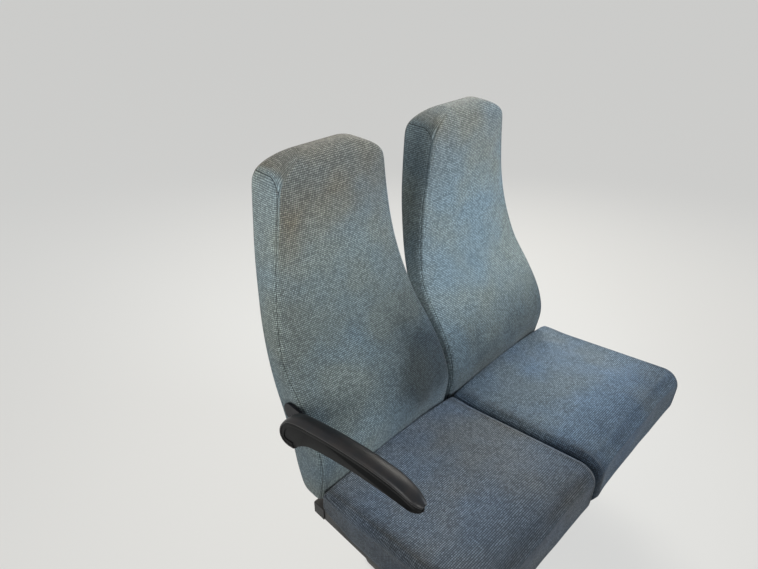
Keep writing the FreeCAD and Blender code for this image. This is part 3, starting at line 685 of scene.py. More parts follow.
def cushion_loop(x, inset):
    """The cover's points round the side view at one place across the cushion."""
    outline = rounded_outline(CUSHION_CORNERS, inset / MM)
    # The tail's edges are tighter, as the back holds them down.
    tail = ease(outline[:, :1], *TAIL_STRETCH)
    outline = outline * (1 - tail) + rounded_outline(CUSHION_CORNERS, CUSHION_TAIL * inset / MM) * tail
    inset = inset * (1 - (1 - CUSHION_TAIL) * tail[:, 0])
    inside = max(0.0, 1 - (x / (CUSHION_HALF - CUSHION_EDGE / 2)) ** 2)
    within = np.clip(np.minimum(outline[:, 0] - CROWN_FRONT, CROWN_REAR - outline[:, 0]) / CROWN_FADE, 0, 1)
    upper = np.clip((outline[:, 1] - LOWER_PART) / 0.025, 0, 1)
    lift = CUSHION_CROWN * inside * upper * np.sin(within * math.pi / 2)
    hem = quarter(CUSHION_HALF - abs(x), CUSHION_HEM, CUSHION_HEM)
    drop = (inset - hem) * np.clip((LOWER_PART - outline[:, 1]) / 0.03, 0, 1)
    height = outline[:, 1] + lift - drop
    return np.column_stack([np.full(len(outline), x), outline[:, 0] + CREASE_Y, height])


stations = [(-CUSHION_HALF + CUSHION_EDGE * (1 - math.sin(math.radians(a))),
             CUSHION_EDGE * (1 - math.cos(math.radians(a)))) for a in FRONT_ARC[::-1]]
reach = CUSHION_HALF - CUSHION_EDGE
stations += [(x, 0.0) for x in np.linspace(-reach, reach, 25)[1:-1]]
stations += [(-x, inset) for x, inset in stations[:len(FRONT_ARC)][::-1]]
cushion_loops = np.array([cushion_loop(x, inset) for x, inset in stations])
station_count, side_count = cushion_loops.shape[:2]
# The steps at which the side view's front, top, rear and underside begin.
bends = [0]
for corner in CUSHION_CORNERS[:4]:
    bends.append(bends[-1] + corner[3] + corner[4])
side_corners = [bends[i] + CUSHION_CORNERS[i][3] // 2 for i in range(4)]
cushion = closed_form("cushion_cover", cushion_loops, side_corners[1:])


def spot(station, step):
    """The vertex of one place across the cushion and one step round its side view."""
    return (station % station_count) * side_count + step % side_count


left_seam = len(FRONT_ARC) - 1 - FRONT_ARC.index(45)
left_stitch = len(FRONT_ARC) - 1 - FRONT_ARC.index(8)
points = places(cushion)
limits = np.zeros(len(points))
for k in range(left_stitch + 1, station_count - left_stitch - 1):
    for i in range(side_corners[0] + 2, side_corners[2] - 3):
        limits[spot(k, i)] = TOP_SWELL * (1.02 - (stations[k][0] / CUSHION_HALF) ** 6)
for k in (0, station_count - 1):
    limits[spot(k, 0):spot(k, 0) + side_count] = RIM_SWELL
limits[station_count * side_count:] = WALL_SWELL
swell(cushion, limits)
unevenness = np.minimum(limits / CUSHION_UNEVEN_DEPTH, 1)
ripple(cushion, CUSHION_UNEVEN_DEPTH, CUSHION_UNEVEN_LENGTH, unevenness)
points = places(cushion)
# The lower edge of a cover is drawn round the board by a cord, so it waves and sags at the front.
at_hem = np.clip((HEM_TOP - points[:, 2]) / 0.04, 0, 1)
in_front = np.clip((CREASE_Y + HEM_FRONT - points[:, 1]) / 0.05, 0, 1)
waves = np.array([noise.noise(Vector((x * HEM_WAVES, y * HEM_WAVES, 3.0))) for x, y, z in points])
on_aisle = np.clip(-points[:, 0] / CUSHION_HALF, 0, None)
points[:, 2] += at_hem * (HEM_WAVE * waves - HEM_SAG * in_front * on_aisle)
points[:, 1] -= at_hem * in_front * HEM_SAG * waves
put(cushion, points)
seam_steps = range(side_corners[0], side_corners[2] + 2)
seam_stations = (left_seam, -left_seam - 1)
stitch_stations = (left_stitch, -left_stitch - 1)
seam_ids = [spot(k, i) for k in seam_stations for i in seam_steps]
stitch_ids = [spot(k, i) for k in stitch_stations for i in seam_steps]
press(cushion, seam_ids, CUSHION_SEAM_DEPTH)
press(cushion, stitch_ids, CUSHION_STITCH_DEPTH)
# The seams of the cushion get painted shade.
seam_mark = np.zeros(len(points))
seam_mark[seam_ids] = CUSHION_SEAM_MARK
mark(cushion, "seam", seam_mark)
wear = np.zeros(len(points))
for k in range(station_count):
    from_seam = min(abs(k - left_stitch), abs(station_count - 1 - left_stitch - k))
    for i in range(side_count):
        from_nose = abs(i - side_corners[1]) / 5
        wear[spot(k, i)] = max(0.0, 0.6 - from_seam / 3, 0.5 - from_nose / 2)
mark(cushion, "wear", wear)
# Painted shade darkens the cushion's front and its aisle side.
aside = ease(-points[:, 0], CUSHION_HALF - 0.05, CUSHION_HALF)
mark(cushion, "painted_shade", 0.52 * ease(CREASE_Y - points[:, 1], 0.26, 0.39) + 0.7 * aside)
points = places(cushion)
along = distances(cushion_loops[station_count // 2])
# The cloth is cut in two: one long piece over the top and front, and the side walls.
long_cut = points[:, :2].copy()
for k, (x, inset) in enumerate(stations):
    long_cut[spot(k, 0):spot(k, 0) + side_count] = np.column_stack([np.full(side_count, x), along])
side_cut = points[:, 1:]
cut_of_face = []
for face in cushion.data.polygons:
    station = np.array(face.vertices) // side_count
    beyond = station.max() <= left_seam or station.min() >= station_count - 1 - left_seam
    cut_of_face.append(1 if beyond else 0)
lay_cloth(cushion, (long_cut, side_cut), cut_of_face)
smooth_over(cushion, 2)
stitch_rows = [[spot(k, i) for i in seam_steps] for k in stitch_stations]
cushion_thread = sew("cushion_stitches", cushion, stitch_rows, STITCH_LENGTH, CUSHION_STITCH_THICK,
                     STITCH_GAP)

cushion_fabric = upholstery("basket_weave_cushions", "#848f9c", "#363f4a", "#c9b8a4", (0.9, 1.08))
# The cushion away from the armrest is less soiled, and a bluer, paler copy of the cloth paints the
# window's light on it.
window_lit_fabric = upholstery("basket_weave_window_lit_cushion", "#8195a9", "#35424f", "#c9b8a4", (0.9, 1.08))
for seat, fabric in (("aisle", cushion_fabric), ("window", window_lit_fabric)):
    low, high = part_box("cushion_" + seat)
    place = Vector(((low.x + high.x) / 2, 0, 0))
    cover = fitted(cushion, "new_cushion_%s_cover" % seat, place, fabric)
    fitted(cushion_thread, "new_cushion_%s_stitches" % seat, place, thread_finish)
    if seat == "window":
        scale_mark(cover, "wear", 0.4)
    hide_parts("cushion_" + seat)
bpy.data.objects.remove(cushion)
bpy.data.objects.remove(cushion_thread)


# Armrest: a hard core under a domed pad of foam with its own skin. The pad runs over the top and
# round the hub, and ends in a thin lip; below the lip the core steps in twice. It turns on the pin.
arm_low, arm_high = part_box("arm_pad")
hinge = next(joint for joint in frame["joints"] if joint["name"] == "armrest_hinge")
PIVOT = Vector(hinge["pos_m"])
ARM_MIDDLE = (arm_low.x + arm_high.x) / 2
ARM_HALF = 16.5 * MM
DOME = 8 * MM
HUB_DOME = 4 * MM
LIP_THICK = 2.4 * MM
# Below the skin: a band that is set in from the lip, and the core, set in again.
BAND_SET_IN = 1.6 * MM
BAND_DEPTH = 12 * MM
CORE_SET_IN = 2.9 * MM
# The lip's edge: shares of the half width, and of the lip's thickness.
LIP_EDGE = ((1, 0.4), (0.98, 0.8), (0.93, 1), (0.5, 1))
# Grain and speckle are too fine to show, and are drawn two to three times as coarse.
SKIN_GRAIN = 1.43 * MM
SPECKLE = 1.11 * MM
SCUFF = 33.3 * MM
# Seen from the aisle, from the pivot: y, z, in mm. The lip goes from below the hub round its rear
# and over the top to the tip; the core's lower line goes from the hub to the tip.
LIP_LINE = ((-9, -31), (7, -35), (22, -34), (31, -25), (32, -11), (25, 8), (6, 31), (-22, 46), (-60, 57),
            (-110, 70), (-168, 82), (-225, 91), (-280, 95), (-320, 92), (-342, 85))
CORE_LINE = ((-12, -27), (-24, -18), (-38, -6), (-62, 9), (-110, 25), (-165, 39), (-225, 51), (-290, 60),
             (-330, 65), (-341, 71))
# Where the tip's rounding starts, seen from above, and how far it runs: on the aisle side, inside.
TIP_ROUNDS = ((-318, 27), (-262, 83))


def smooth_line(corners, steps):
    """A smooth curve through points given in mm, in metres, with a number of steps to each stretch."""
    spots = np.array(corners, float)
    spots = np.vstack([2 * spots[0] - spots[1], spots, 2 * spots[-1] - spots[-2]])
    line = []
    for a, b, c, d in zip(spots, spots[1:], spots[2:], spots[3:]):
        for t in np.linspace(0, 1, steps, endpoint=False):
            line.append(0.5 * (2 * b + (c - a) * t + (2 * a - 5 * b + 4 * c - d) * t * t
                               + (3 * b - a - 3 * c + d) * t ** 3))
    return np.array(line + [spots[-2]]) * MM


def outward(line):
    """The unit normals of a side view's line, on its left hand when y is taken to the right."""
    ahead = np.gradient(line, axis=0)
    ahead /= np.linalg.norm(ahead, axis=1)[:, None]
    return np.column_stack([ahead[:, 1], -ahead[:, 0]])


def half_across(y, inner):
    """Half the armrest's width at a distance from the pivot, on one side."""
    start, length = TIP_ROUNDS[inner]
    past = np.clip((start * MM - y) / (length * MM), 0, 0.995)
    return ARM_HALF * np.sqrt(1 - past ** 2)


def swept(name, sections):
    """A closed piece through sections of equal count: one ring, extruded once for each section."""
    count = len(sections[0])
    bpy.ops.mesh.primitive_circle_add(vertices=count, radius=1, fill_type="NGON")
    piece = bpy.context.object
    piece.name = name
    bpy.ops.object.mode_set(mode="EDIT")
    bpy.ops.mesh.select_all(action="SELECT")
    for step in range(1, len(sections)):
        bpy.ops.mesh.extrude_region_move(TRANSFORM_OT_translate={"value": (0, 0, 1)})
    bpy.ops.object.mode_set(mode="OBJECT")
    rings = places(piece)
    turns = np.arctan2(rings[:, 1], rings[:, 0]) / (2 * math.pi) * count
    put(piece, sections[np.rint(rings[:, 2]).astype(int), np.rint(turns).astype(int) % count])
    face_outward(piece)
    return piece


def face_outward(piece):
    """Turns all faces of a closed piece outward and smooths its round stretches."""
    select_only(piece)
    bpy.ops.object.mode_set(mode="EDIT")
    bpy.ops.mesh.select_all(action="SELECT")
    bpy.ops.mesh.normals_make_consistent(inside=False)
    bpy.ops.object.mode_set(mode="OBJECT")
    bpy.ops.object.shade_smooth_by_angle(angle=math.radians(40))


def deselect_mesh(piece):
    """Deselects a piece's vertices, edges and faces."""
    for items in (piece.data.vertices, piece.data.edges, piece.data.polygons):
        items.foreach_set("select", [False] * len(items))


def side_slab(name, outline, inset, edge_radius):
    """A piece with one side view, extruded across the armrest; its tip is rounded as the pad's is."""
    bpy.ops.mesh.primitive_circle_add(vertices=len(outline), radius=0.1, fill_type="NGON")
    piece = bpy.context.object
    piece.name = name
    put(piece, [(-1, y, z) for y, z in outline])
    bpy.ops.object.mode_set(mode="EDIT")
    bpy.ops.mesh.select_all(action="SELECT")
    bpy.ops.mesh.extrude_region_move(TRANSFORM_OT_translate={"value": (2, 0, 0)})
    bpy.ops.object.mode_set(mode="OBJECT")
    shape = places(piece)
    for inner, side in ((0, -1), (1, 1)):
        on_side = np.sign(shape[:, 0]) == side
        reach = half_across(shape[on_side, 1] - inset, inner) - inset
        shape[on_side, 0] = side * np.maximum(reach, 1 * MM)
    put(piece, shape + (ARM_MIDDLE, PIVOT.y, PIVOT.z))
    select_only(piece)
    deselect_mesh(piece)
    for edge in piece.data.edges:
        a, b = (piece.data.vertices[i].co.x - ARM_MIDDLE for i in edge.vertices)
        edge.select = a * b > 0
    bpy.ops.object.mode_set(mode="EDIT")
    bpy.ops.mesh.select_mode(type="EDGE")
    bpy.ops.mesh.bevel(offset=edge_radius, segments=3, profile=0.5, clamp_overlap=True)
    bpy.ops.object.mode_set(mode="OBJECT")
    face_outward(piece)
    return piece


lip = smooth_line(LIP_LINE, 5)
lip_out = outward(lip)
pad_sections = []
for (y, z), (out_y, out_z) in zip(lip, lip_out):
    inside, aisle = half_across(y, 1), half_across(y, 0)
    high = HUB_DOME + (DOME - HUB_DOME) * float(ease(-y, -0.01, 0.05))
    high *= math.sqrt(min(inside, aisle) / ARM_HALF)
    section = [(math.cos(t), high * math.sin(t)) for t in np.linspace(0, math.pi, 17)]
    section += [(-across, -thick * LIP_THICK) for across, thick in LIP_EDGE]
    section += [(across, -thick * LIP_THICK) for across, thick in LIP_EDGE[::-1]]
    rim = []
    for across, lift in section:
        x = ARM_MIDDLE + across * (inside if across > 0 else aisle)
        rim.append((x, PIVOT.y + y + out_y * lift, PIVOT.z + z + out_z * lift))
    pad_sections.append(rim)
pad = swept("new_arm_pad_skin", np.array(pad_sections))
band_outline = np.vstack([lip - lip_out * 1 * MM, (lip - lip_out * BAND_DEPTH)[::-1]])
band = side_slab("new_arm_band", band_outline, BAND_SET_IN, 0.5 * MM)
core_outline = np.vstack([lip - lip_out * 3 * MM, smooth_line(CORE_LINE, 5)[::-1]])
core = side_slab("new_arm_core", core_outline, CORE_SET_IN, 1.2 * MM)

# The skin has a fine leather grain. Arms have polished it, and browned it in patches.
pad_finish, tree, shader = finish_named("moulded_integral_skin")
place = add(tree, "TexCoord").outputs["Object"]
grain = add(tree, "TexVoronoi", feature="DISTANCE_TO_EDGE", Vector=place, Scale=1 / SKIN_GRAIN)
scuffs = add(tree, "TexNoise", Vector=place, Scale=1 / SCUFF, Detail=5.0, Roughness=0.65)
worn = add(tree, "MapRange", scuffs, 0.42, 0.72)
brown = add(tree, "Mix", worn, linear("#101216"), linear("#1e1a19"), **BLEND)
polish = add(tree, "MapRange", scuffs, 0.3, 0.7, 0.34, 0.5)
bump = add(tree, "Bump", Strength=0.12, Distance=0.2 * MM, Height=grain)
feed(shader, Base_Color=brown, Roughness=polish, Specular_IOR_Level=0.3, Normal=bump)
# The core is plain black plastic with the dull speckle of an etched mould.
core_finish, tree, shader = finish_named("moulded_black_plastic")
place = add(tree, "TexCoord").outputs["Object"]
speckle = add(tree, "TexNoise", Vector=place, Scale=1 / SPECKLE, Detail=1.0)
rough = add(tree, "MapRange", speckle, To_Min=0.4, To_Max=0.6)
bump = add(tree, "Bump", Strength=0.2, Distance=0.15 * MM, Height=speckle)
feed(shader, Base_Color=linear("#060708"), Roughness=rough, Specular_IOR_Level=0.1, Normal=bump)
for piece, finish, slot in ((pad, pad_finish, "arm_pad_plastic"), (band, core_finish, "arm_core_plastic"),
                            (core, core_finish, "arm_core_plastic")):
    piece.data.materials.append(finish)
    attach(piece, "armrest")
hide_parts("arm_pad")
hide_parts("arm_core")


# Steel frame: pressed leg and foot, square tubes, posts and wall angle, MIG-welded together and then
# powder coated satin black. The coat shows orange peel, dust on what faces up, and bare edges.
FRAME_NODES = ("foot_plate", "leg_channel", "leg_head", "front_rail", "rear_rail", "aisle_cross_tube",
               "middle_cross_tube", "window_cross_tube", "wall_angle",
               "post_aisle_left", "post_aisle_right", "post_window_left", "post_window_right")
WELD_BEAD = (3.4 * MM, 6 * MM, 4 * MM)
WELD_STEP = -1.4 * MM
# How far the welds stay from the corners of each member, and where the head's weld starts and ends.
LEG_WEB, LEG_FLANGE = 20 * MM, 12 * MM
TUBE_CORNER, POST_CORNER, RAIL_CORNER = 3 * MM, 2 * MM, 4 * MM
HEAD_WELD = (90 * MM, 210 * MM)
ORANGE_PEEL = 2.22 * MM
DUST_PATCH = 71.4 * MM
CHIP = 6.25 * MM
EDGE_WEAR = 1.2 * MM


def facing_up(tree, low, high):
    """From 0 to 1 as a surface turns to face up."""
    facing = add(tree, "SeparateXYZ", add(tree, "NewGeometry").outputs["Normal"])
    return add(tree, "MapRange", facing.outputs["Z"], low, high)


def sharp_edges(tree, radius):
    """1 along sharp edges, where hands and tools have rubbed, and 0 on flat faces."""
    rounded = add(tree, "Bevel", samples=4, Radius=radius)
    straight = add(tree, "NewGeometry").outputs["Normal"]
    alike = add(tree, "VectorMath", rounded, straight, operation="DOT_PRODUCT")
    return add(tree, "MapRange", alike, 0.97, 0.80)


def finish_nodes(names, finish):
    """Gives CAD nodes their material."""
    for name in names:
        materials = frame["nodes"][name].data.materials
        materials.clear()
        materials.append(finish)


paint, tree, shader = finish_named("satin_black_powder_coat")
place = add(tree, "TexCoord").outputs["Object"]
peel = add(tree, "TexNoise", Vector=place, Scale=1 / ORANGE_PEEL, Detail=1.0)
patches = add(tree, "TexNoise", Vector=place, Scale=1 / DUST_PATCH, Detail=5.0, Roughness=0.7)
chips = add(tree, "TexNoise", Vector=place, Scale=1 / CHIP, Detail=3.0)
dusty = add(tree, "MapRange", patches, 0.35, 0.65, 0.1, 0.6)
dusty = add(tree, "Math", dusty, facing_up(tree, 0.2, 0.9), operation="MULTIPLY")
coat = add(tree, "Mix", dusty, linear("#17181a"), linear("#4f4b46"), **BLEND)
chips = add(tree, "MapRange", chips, 0.52, 0.62)
bare = add(tree, "Math", sharp_edges(tree, EDGE_WEAR), chips, operation="MULTIPLY")
worn = add(tree, "Mix", bare, coat, linear("#6d665f"), **BLEND)
rough = add(tree, "MapRange", patches, 0.3, 0.7, 0.38, 0.62)
bump = add(tree, "Bump", Strength=0.25, Distance=0.12 * MM, Height=peel)
feed(shader, Base_Color=worn, Roughness=rough, Normal=bump)
finish_nodes(FRAME_NODES, paint)

weld_lines, weld_facing = [], []


def weld(start, end, up):
    """Plans a weld from one corner to another; up is the way its bead bulges."""
    weld_lines.append(np.array([start, end], float))
    weld_facing.append(np.array([Vector(up).normalized()] * 2))


# The leg is welded to its foot on both long sides, and to its head.
foot_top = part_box("foot_plate")[1].z
leg_low, leg_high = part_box("leg_channel")
head_low, head_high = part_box("leg_head")
weld((leg_low.x, leg_low.y + LEG_WEB, foot_top), (leg_low.x, leg_high.y - LEG_WEB, foot_top), (-1, 0, 1))
for y, out in ((leg_low.y, -1), (leg_high.y, 1)):
    weld((leg_low.x + LEG_FLANGE, y, foot_top), (leg_high.x, y, foot_top), (0, out, 1))
weld(*[(leg_low.x, head_low.y + y, head_low.z) for y in HEAD_WELD], (-1, 0, -1))
# Each cross tube butts against the two rails, and each post stands on the rear rail.
rails = {name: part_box(name) for name in ("front_rail", "rear_rail")}
for name in ("aisle_cross_tube", "middle_cross_tube", "window_cross_tube"):
    low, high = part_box(name)
    for y, inward in ((rails["front_rail"][1].y, 1), (rails["rear_rail"][0].y, -1)):
        for x, out in ((low.x, -1), (high.x, 1)):
            if out > 0 or name != "aisle_cross_tube":
                weld((x, y, low.z + TUBE_CORNER), (x, y, high.z - TUBE_CORNER), (out, inward, 0))
for name in FRAME_NODES[-4:]:
    low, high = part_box(name)
    for y, out in ((low.y, -1), (high.y, 1)):
        weld((low.x + POST_CORNER, y, low.z), (high.x - POST_CORNER, y, low.z), (0, out, 1))
# The rails lie on the leg's head, with a run of weld on each side of it.
for low, high in rails.values():
    for x, out in ((head_low.x, -1), (head_high.x, 1)):
        weld((x, low.y + RAIL_CORNER, low.z), (x, high.y - RAIL_CORNER, low.z), (out, 0, -1))
welds = beads("new_frame_welds", weld_lines, weld_facing, WELD_BEAD, WELD_STEP)
welds.data.materials.append(paint)
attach(welds, "bench")


# End plugs: push-in caps of moulded black polyethylene with a fine spark-eroded grain, which gives
# them a dull, cloudy black. The grain is too fine to show, and is drawn 0.7 mm wide.
ERODED_GRAIN = 0.714 * MM
PLUG_CLOUD = 25 * MM
plug_finish, tree, shader = finish_named("moulded_polyethylene")
place = add(tree, "TexCoord").outputs["Object"]
eroded = add(tree, "TexNoise", Vector=place, Scale=1 / ERODED_GRAIN, Detail=1.0)
clouds = add(tree, "TexNoise", Vector=place, Scale=1 / PLUG_CLOUD, Detail=3.0)
dull = add(tree, "Mix", clouds, linear("#0f1011"), linear("#1d1d1e"), **BLEND)
rough = add(tree, "MapRange", clouds, 0.3, 0.7, 0.5, 0.68)
bump = add(tree, "Bump", Strength=0.3, Distance=0.08 * MM, Height=eroded)
feed(shader, Base_Color=dull, Roughness=rough, Normal=bump)
finish_nodes(("front_rail_plug", "rear_rail_plug", "head_front_plug", "head_rear_plug"), plug_finish)


# Seat boards: 12 mm birch plywood of nine plies, sawn, and stained brown by years of use. Faces show
# long grain, and edges show the plies, in turn pale and brown.
PLY = 12 / 9 * MM
WOOD_GRAIN = (167 * MM, 8.33 * MM, 8.33 * MM)
board_finish, tree, shader = finish_named("birch_plywood")
place = add(tree, "TexCoord").outputs["Object"]
stretch = add(tree, "Mapping", Vector=place, Scale=[1 / size for size in WOOD_GRAIN])
grain = add(tree, "TexNoise", Vector=stretch, Scale=1.0, Detail=4.0, Roughness=0.6, Distortion=0.4)
streaks = add(tree, "MapRange", grain, 0.35, 0.65)
face = add(tree, "Mix", streaks, linear("#4c3a28"), linear("#6b543b"), **BLEND)
height = add(tree, "SeparateXYZ", place).outputs["Z"]
turns = add(tree, "Math", height, math.pi / PLY, operation="MULTIPLY")
plies = add(tree, "MapRange", add(tree, "Math", turns, operation="SINE"), -0.2, 0.2)
edge = add(tree, "Mix", plies, linear("#33261a"), linear("#675039"), **BLEND)
facing = add(tree, "SeparateXYZ", add(tree, "NewGeometry").outputs["Normal"])
level = add(tree, "Math", facing.outputs["Z"], operation="ABSOLUTE")
wood = add(tree, "Mix", add(tree, "MapRange", level, 0.45, 0.55), edge, face, **BLEND)
bump = add(tree, "Bump", Strength=0.3, Distance=0.2 * MM, Height=grain)
feed(shader, Base_Color=wood, Roughness=0.72, Normal=bump)
finish_nodes(("board_aisle", "board_window"), board_finish)


# Armrest bracket, belt tab and bolts: pressed steel, zinc plated. The bracket's plate is passivated
# black, and the rest is left bright, dulled by use, with a faint crystal pattern.
ZINC_CRYSTAL = 3 * MM
SMEAR = 16.7 * MM
FLOOR_BOLT = 10 * MM
WALL_BOLT = 8 * MM
WALL_SHEET = 5 * MM


def plated(name, dark, pale, low, high):
    """Zinc plate between two colours, with roughness from low to high."""
    material, tree, shader = finish_named(name)
    place = add(tree, "TexCoord").outputs["Object"]
    crystals = add(tree, "TexVoronoi", Vector=place, Scale=1 / ZINC_CRYSTAL).outputs["Color"]
    shade = add(tree, "SeparateColor", crystals)
    smears = add(tree, "TexNoise", Vector=place, Scale=1 / SMEAR, Detail=5.0, Roughness=0.7)
    mixed = add(tree, "MapRange", smears, 0.3, 0.7, 0, 0.65)
    mixed = add(tree, "Math", shade, 0.35, mixed, operation="MULTIPLY_ADD")
    colour = add(tree, "Mix", mixed, linear(dark), linear(pale), **BLEND)
    rough = add(tree, "MapRange", smears, 0.3, 0.7, low, high)
    bump = add(tree, "Bump", Strength=0.15, Distance=0.1 * MM, Height=smears)
    feed(shader, Base_Color=colour, Metallic=1.0, Roughness=rough, Normal=bump)
    return material


bright_zinc = plated("bright_zinc_plate", "#8d9092", "#b9babb", 0.28, 0.5)
black_zinc = plated("black_zinc_plate", "#1c1d20", "#34363a", 0.35, 0.55)
finish_nodes(["belt_tab"], bright_zinc)
finish_nodes(["arm_bracket"], black_zinc)


def bevel_edges(piece, width, steeper_than, smooth_to):
    """Rounds the edges where faces meet at more than one angle and smooths those under another."""
    edges = piece.modifiers.new("edges", "BEVEL")
    edges.width = width
    edges.segments = 2
    edges.angle_limit = math.radians(steeper_than)
    bpy.ops.object.modifier_apply(modifier="edges")
    bpy.ops.object.shade_smooth_by_angle(angle=math.radians(smooth_to))


def bolt(name, place, turn, thread):
    """A hexagon bolt's head on its washer, standing at a place along +Z before it is turned."""
    half_flats, head, washer = 0.87 * thread, 0.65 * thread, 0.2 * thread
    bpy.ops.mesh.primitive_cylinder_add(vertices=40, radius=1.05 * thread, depth=washer,
                                        location=(0, 0, washer / 2))
    ring = bpy.context.object
    bpy.ops.mesh.primitive_cylinder_add(vertices=6, radius=half_flats * 1.155, depth=head,
                                        location=(0, 0, washer + head / 2))
    piece = bpy.context.object
    piece.name = name
    deselect_mesh(piece)
    for side in piece.data.polygons:
        side.select = side.normal.z > 0.9
    bpy.ops.object.mode_set(mode="EDIT")
    bpy.ops.mesh.inset(thickness=0.14 * thread, depth=0.05 * thread)
    bpy.ops.mesh.inset(thickness=0.12 * thread, depth=-0.04 * thread)
    bpy.ops.object.mode_set(mode="OBJECT")
    ring.select_set(True)
    bpy.ops.object.join()
    bevel_edges(piece, 0.04 * thread, 50, 35)
    bpy.ops.object.transform_apply(location=True, rotation=True, scale=True)
    piece.data.transform(Matrix.Translation(place) @ Matrix.Rotation(turn, 4, "Y"))
    piece.data.materials.append(bright_zinc)
    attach(piece, "bench")


mounts = {mount["name"]: mount for mount in frame["record"]["mounts"]}
floor_reach = mounts["floor_bolts"]["dims"]["spacing_y_mm"] / 2 * MM
bolt("new_floor_bolt_front", Vector((0, -floor_reach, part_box("belt_tab")[1].z)), 0, FLOOR_BOLT)
bolt("new_floor_bolt_rear", Vector((0, floor_reach, foot_top)), 0, FLOOR_BOLT)
wall_place = Vector(mounts["wall_bolts"]["pos_m"])
wall_reach = mounts["wall_bolts"]["dims"]["spacing_x_mm"] / 2 * MM
sheet_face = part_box("wall_angle")[1].x - WALL_SHEET
for side, name in ((-1, "front"), (1, "rear")):
    head_place = Vector((sheet_face, wall_place.y + side * wall_reach, wall_place.z))
    bolt("new_wall_bolt_" + name, head_place, -math.pi / 2, WALL_BOLT)


# Belt: 47 mm polyester webbing in a twill. It runs through the tab's slot and back on itself, lies on
# the floor, and ends in a hem. Both folds are sewn with a box of stitches, and the label is blank.
BELT_WIDTH = 47 * MM
BELT_THICK = 1.5 * MM
# Height of its middle where it lies flat on the floor.
BELT_LIE = 0.9 * MM
BELT_RIB = 2.4 * MM
BELT_TURN = math.radians(140)
# Along the floor from the bolt, height of the cloth's middle; mm. It starts at the hem's fold.
BELT_ROUTE = ((170, 2.6), (182, 2.6), (192, 2.5), (195.2, 1.7), (192, 0.9), (180, 0.9), (150, 0.9),
              (125, 0.9), (114, 1.2), (104, 2.5), (90, 2.7), (74, 2.9), (62, 5.0), (54, 8.4), (47, 9.9),
              (41, 10), (37.6, 7.5), (41, 5.0), (47, 4.8), (54, 3.0), (62, 1.2), (72, 0.9), (90, 0.9),
              (102, 0.9))
BELT_DUST = 22.2 * MM
BELT_STITCH = (3.2 * MM, 0.7 * MM, 0.7 * MM)
BELT_STITCH_GAP = 1 * MM
# Each sewn box: its near and far end along the belt, and its height; mm.
SEWN_BOXES = ((66, 100, 3.6), (174, 190, 3.4))
SEWN_MARGIN = 4 * MM
# The label's near and far end along the belt, and its width and thickness.
LABEL_NEAR, LABEL_FAR = 130 * MM, 168 * MM
LABEL_WIDTH, LABEL_THICK = 18 * MM, 0.5 * MM
LABEL_CURL = 0.5 * MM
LABEL_THREAD = 0.628 * MM
LABEL_SMUDGE = 8.33 * MM

belt_line = smooth_line(BELT_ROUTE, 4)
run_out = distances(belt_line)
belt_to_bench = Matrix.Translation((0, -floor_reach, 0)) @ Matrix.Rotation(BELT_TURN, 4, "Z")
bpy.ops.mesh.primitive_grid_add(x_subdivisions=8, y_subdivisions=len(belt_line) - 1, size=1)
webbing = bpy.context.object
webbing.name = "new_belt_webbing"
grid = places(webbing)
rows = np.rint((grid[:, 1] + 0.5) * (len(belt_line) - 1)).astype(int)
put(webbing, np.column_stack([grid[:, 0] * BELT_WIDTH, belt_line[rows]]))
belt_map = webbing.data.uv_layers.new(name="cloth")
for loop in webbing.data.loops:
    k = loop.vertex_index
    belt_map.data[loop.index].uv = (grid[k, 0] * BELT_WIDTH, run_out[rows[k]])
select_only(webbing)
body = webbing.modifiers.new("thickness", "SOLIDIFY")
body.thickness = BELT_THICK
body.offset = 0
bpy.ops.object.modifier_apply(modifier="thickness")
bevel_edges(webbing, 0.45 * MM, 60, 50)

# The twill's ribs meet in a point along the middle, and dust lies on them.
belt_finish, tree, shader = finish_named("polyester_twill_webbing")
place = add(tree, "TexCoord").outputs["Object"]
cloth = add(tree, "SeparateXYZ", add(tree, "UVMap", uv_map="cloth")).outputs
aside = add(tree, "Math", cloth["X"], operation="ABSOLUTE")
slanted = add(tree, "Math", aside, cloth["Y"], operation="ADD")
turns = add(tree, "Math", slanted, 2 * math.pi / BELT_RIB, operation="MULTIPLY")
twill = add(tree, "MapRange", add(tree, "Math", turns, operation="SINE"), -0.8, 0.9)
yarn = add(tree, "Mix", twill, linear("#131518"), linear("#33373c"), **BLEND)
dust = add(tree, "TexNoise", Vector=place, Scale=1 / BELT_DUST, Detail=5.0, Roughness=0.7)
dust = add(tree, "MapRange", dust, 0.45, 0.75, 0, 0.45)
grey = add(tree, "Mix", dust, yarn, linear("#6a665f"), **BLEND)
bump = add(tree, "Bump", Strength=0.5, Distance=0.3 * MM, Height=twill)
feed(shader, Base_Color=grey, Roughness=0.6, Sheen_Weight=0.2, Normal=bump)
webbing.data.materials.append(belt_finish)
webbing.data.transform(belt_to_bench)

UP = (0.0, 0.0, 1.0)
sewn_lines = []
for box in SEWN_BOXES:
    near, far, high = (size * MM for size in box)
    side = BELT_WIDTH / 2 - SEWN_MARGIN
    corners = [(-side, near, high), (side, near, high), (side, far, high), (-side, far, high)]
    for a, b in ((0, 1), (1, 2), (2, 3), (3, 0), (0, 2), (1, 3)):
        sewn_lines.append(np.array([corners[a], corners[b]]))
sewn_facing = [np.array([UP, UP])] * len(sewn_lines)
belt_thread = beads("new_belt_stitches", sewn_lines, sewn_facing, BELT_STITCH, BELT_STITCH_GAP)
belt_thread.data.materials.append(thread_finish)
belt_thread.data.transform(belt_to_bench)

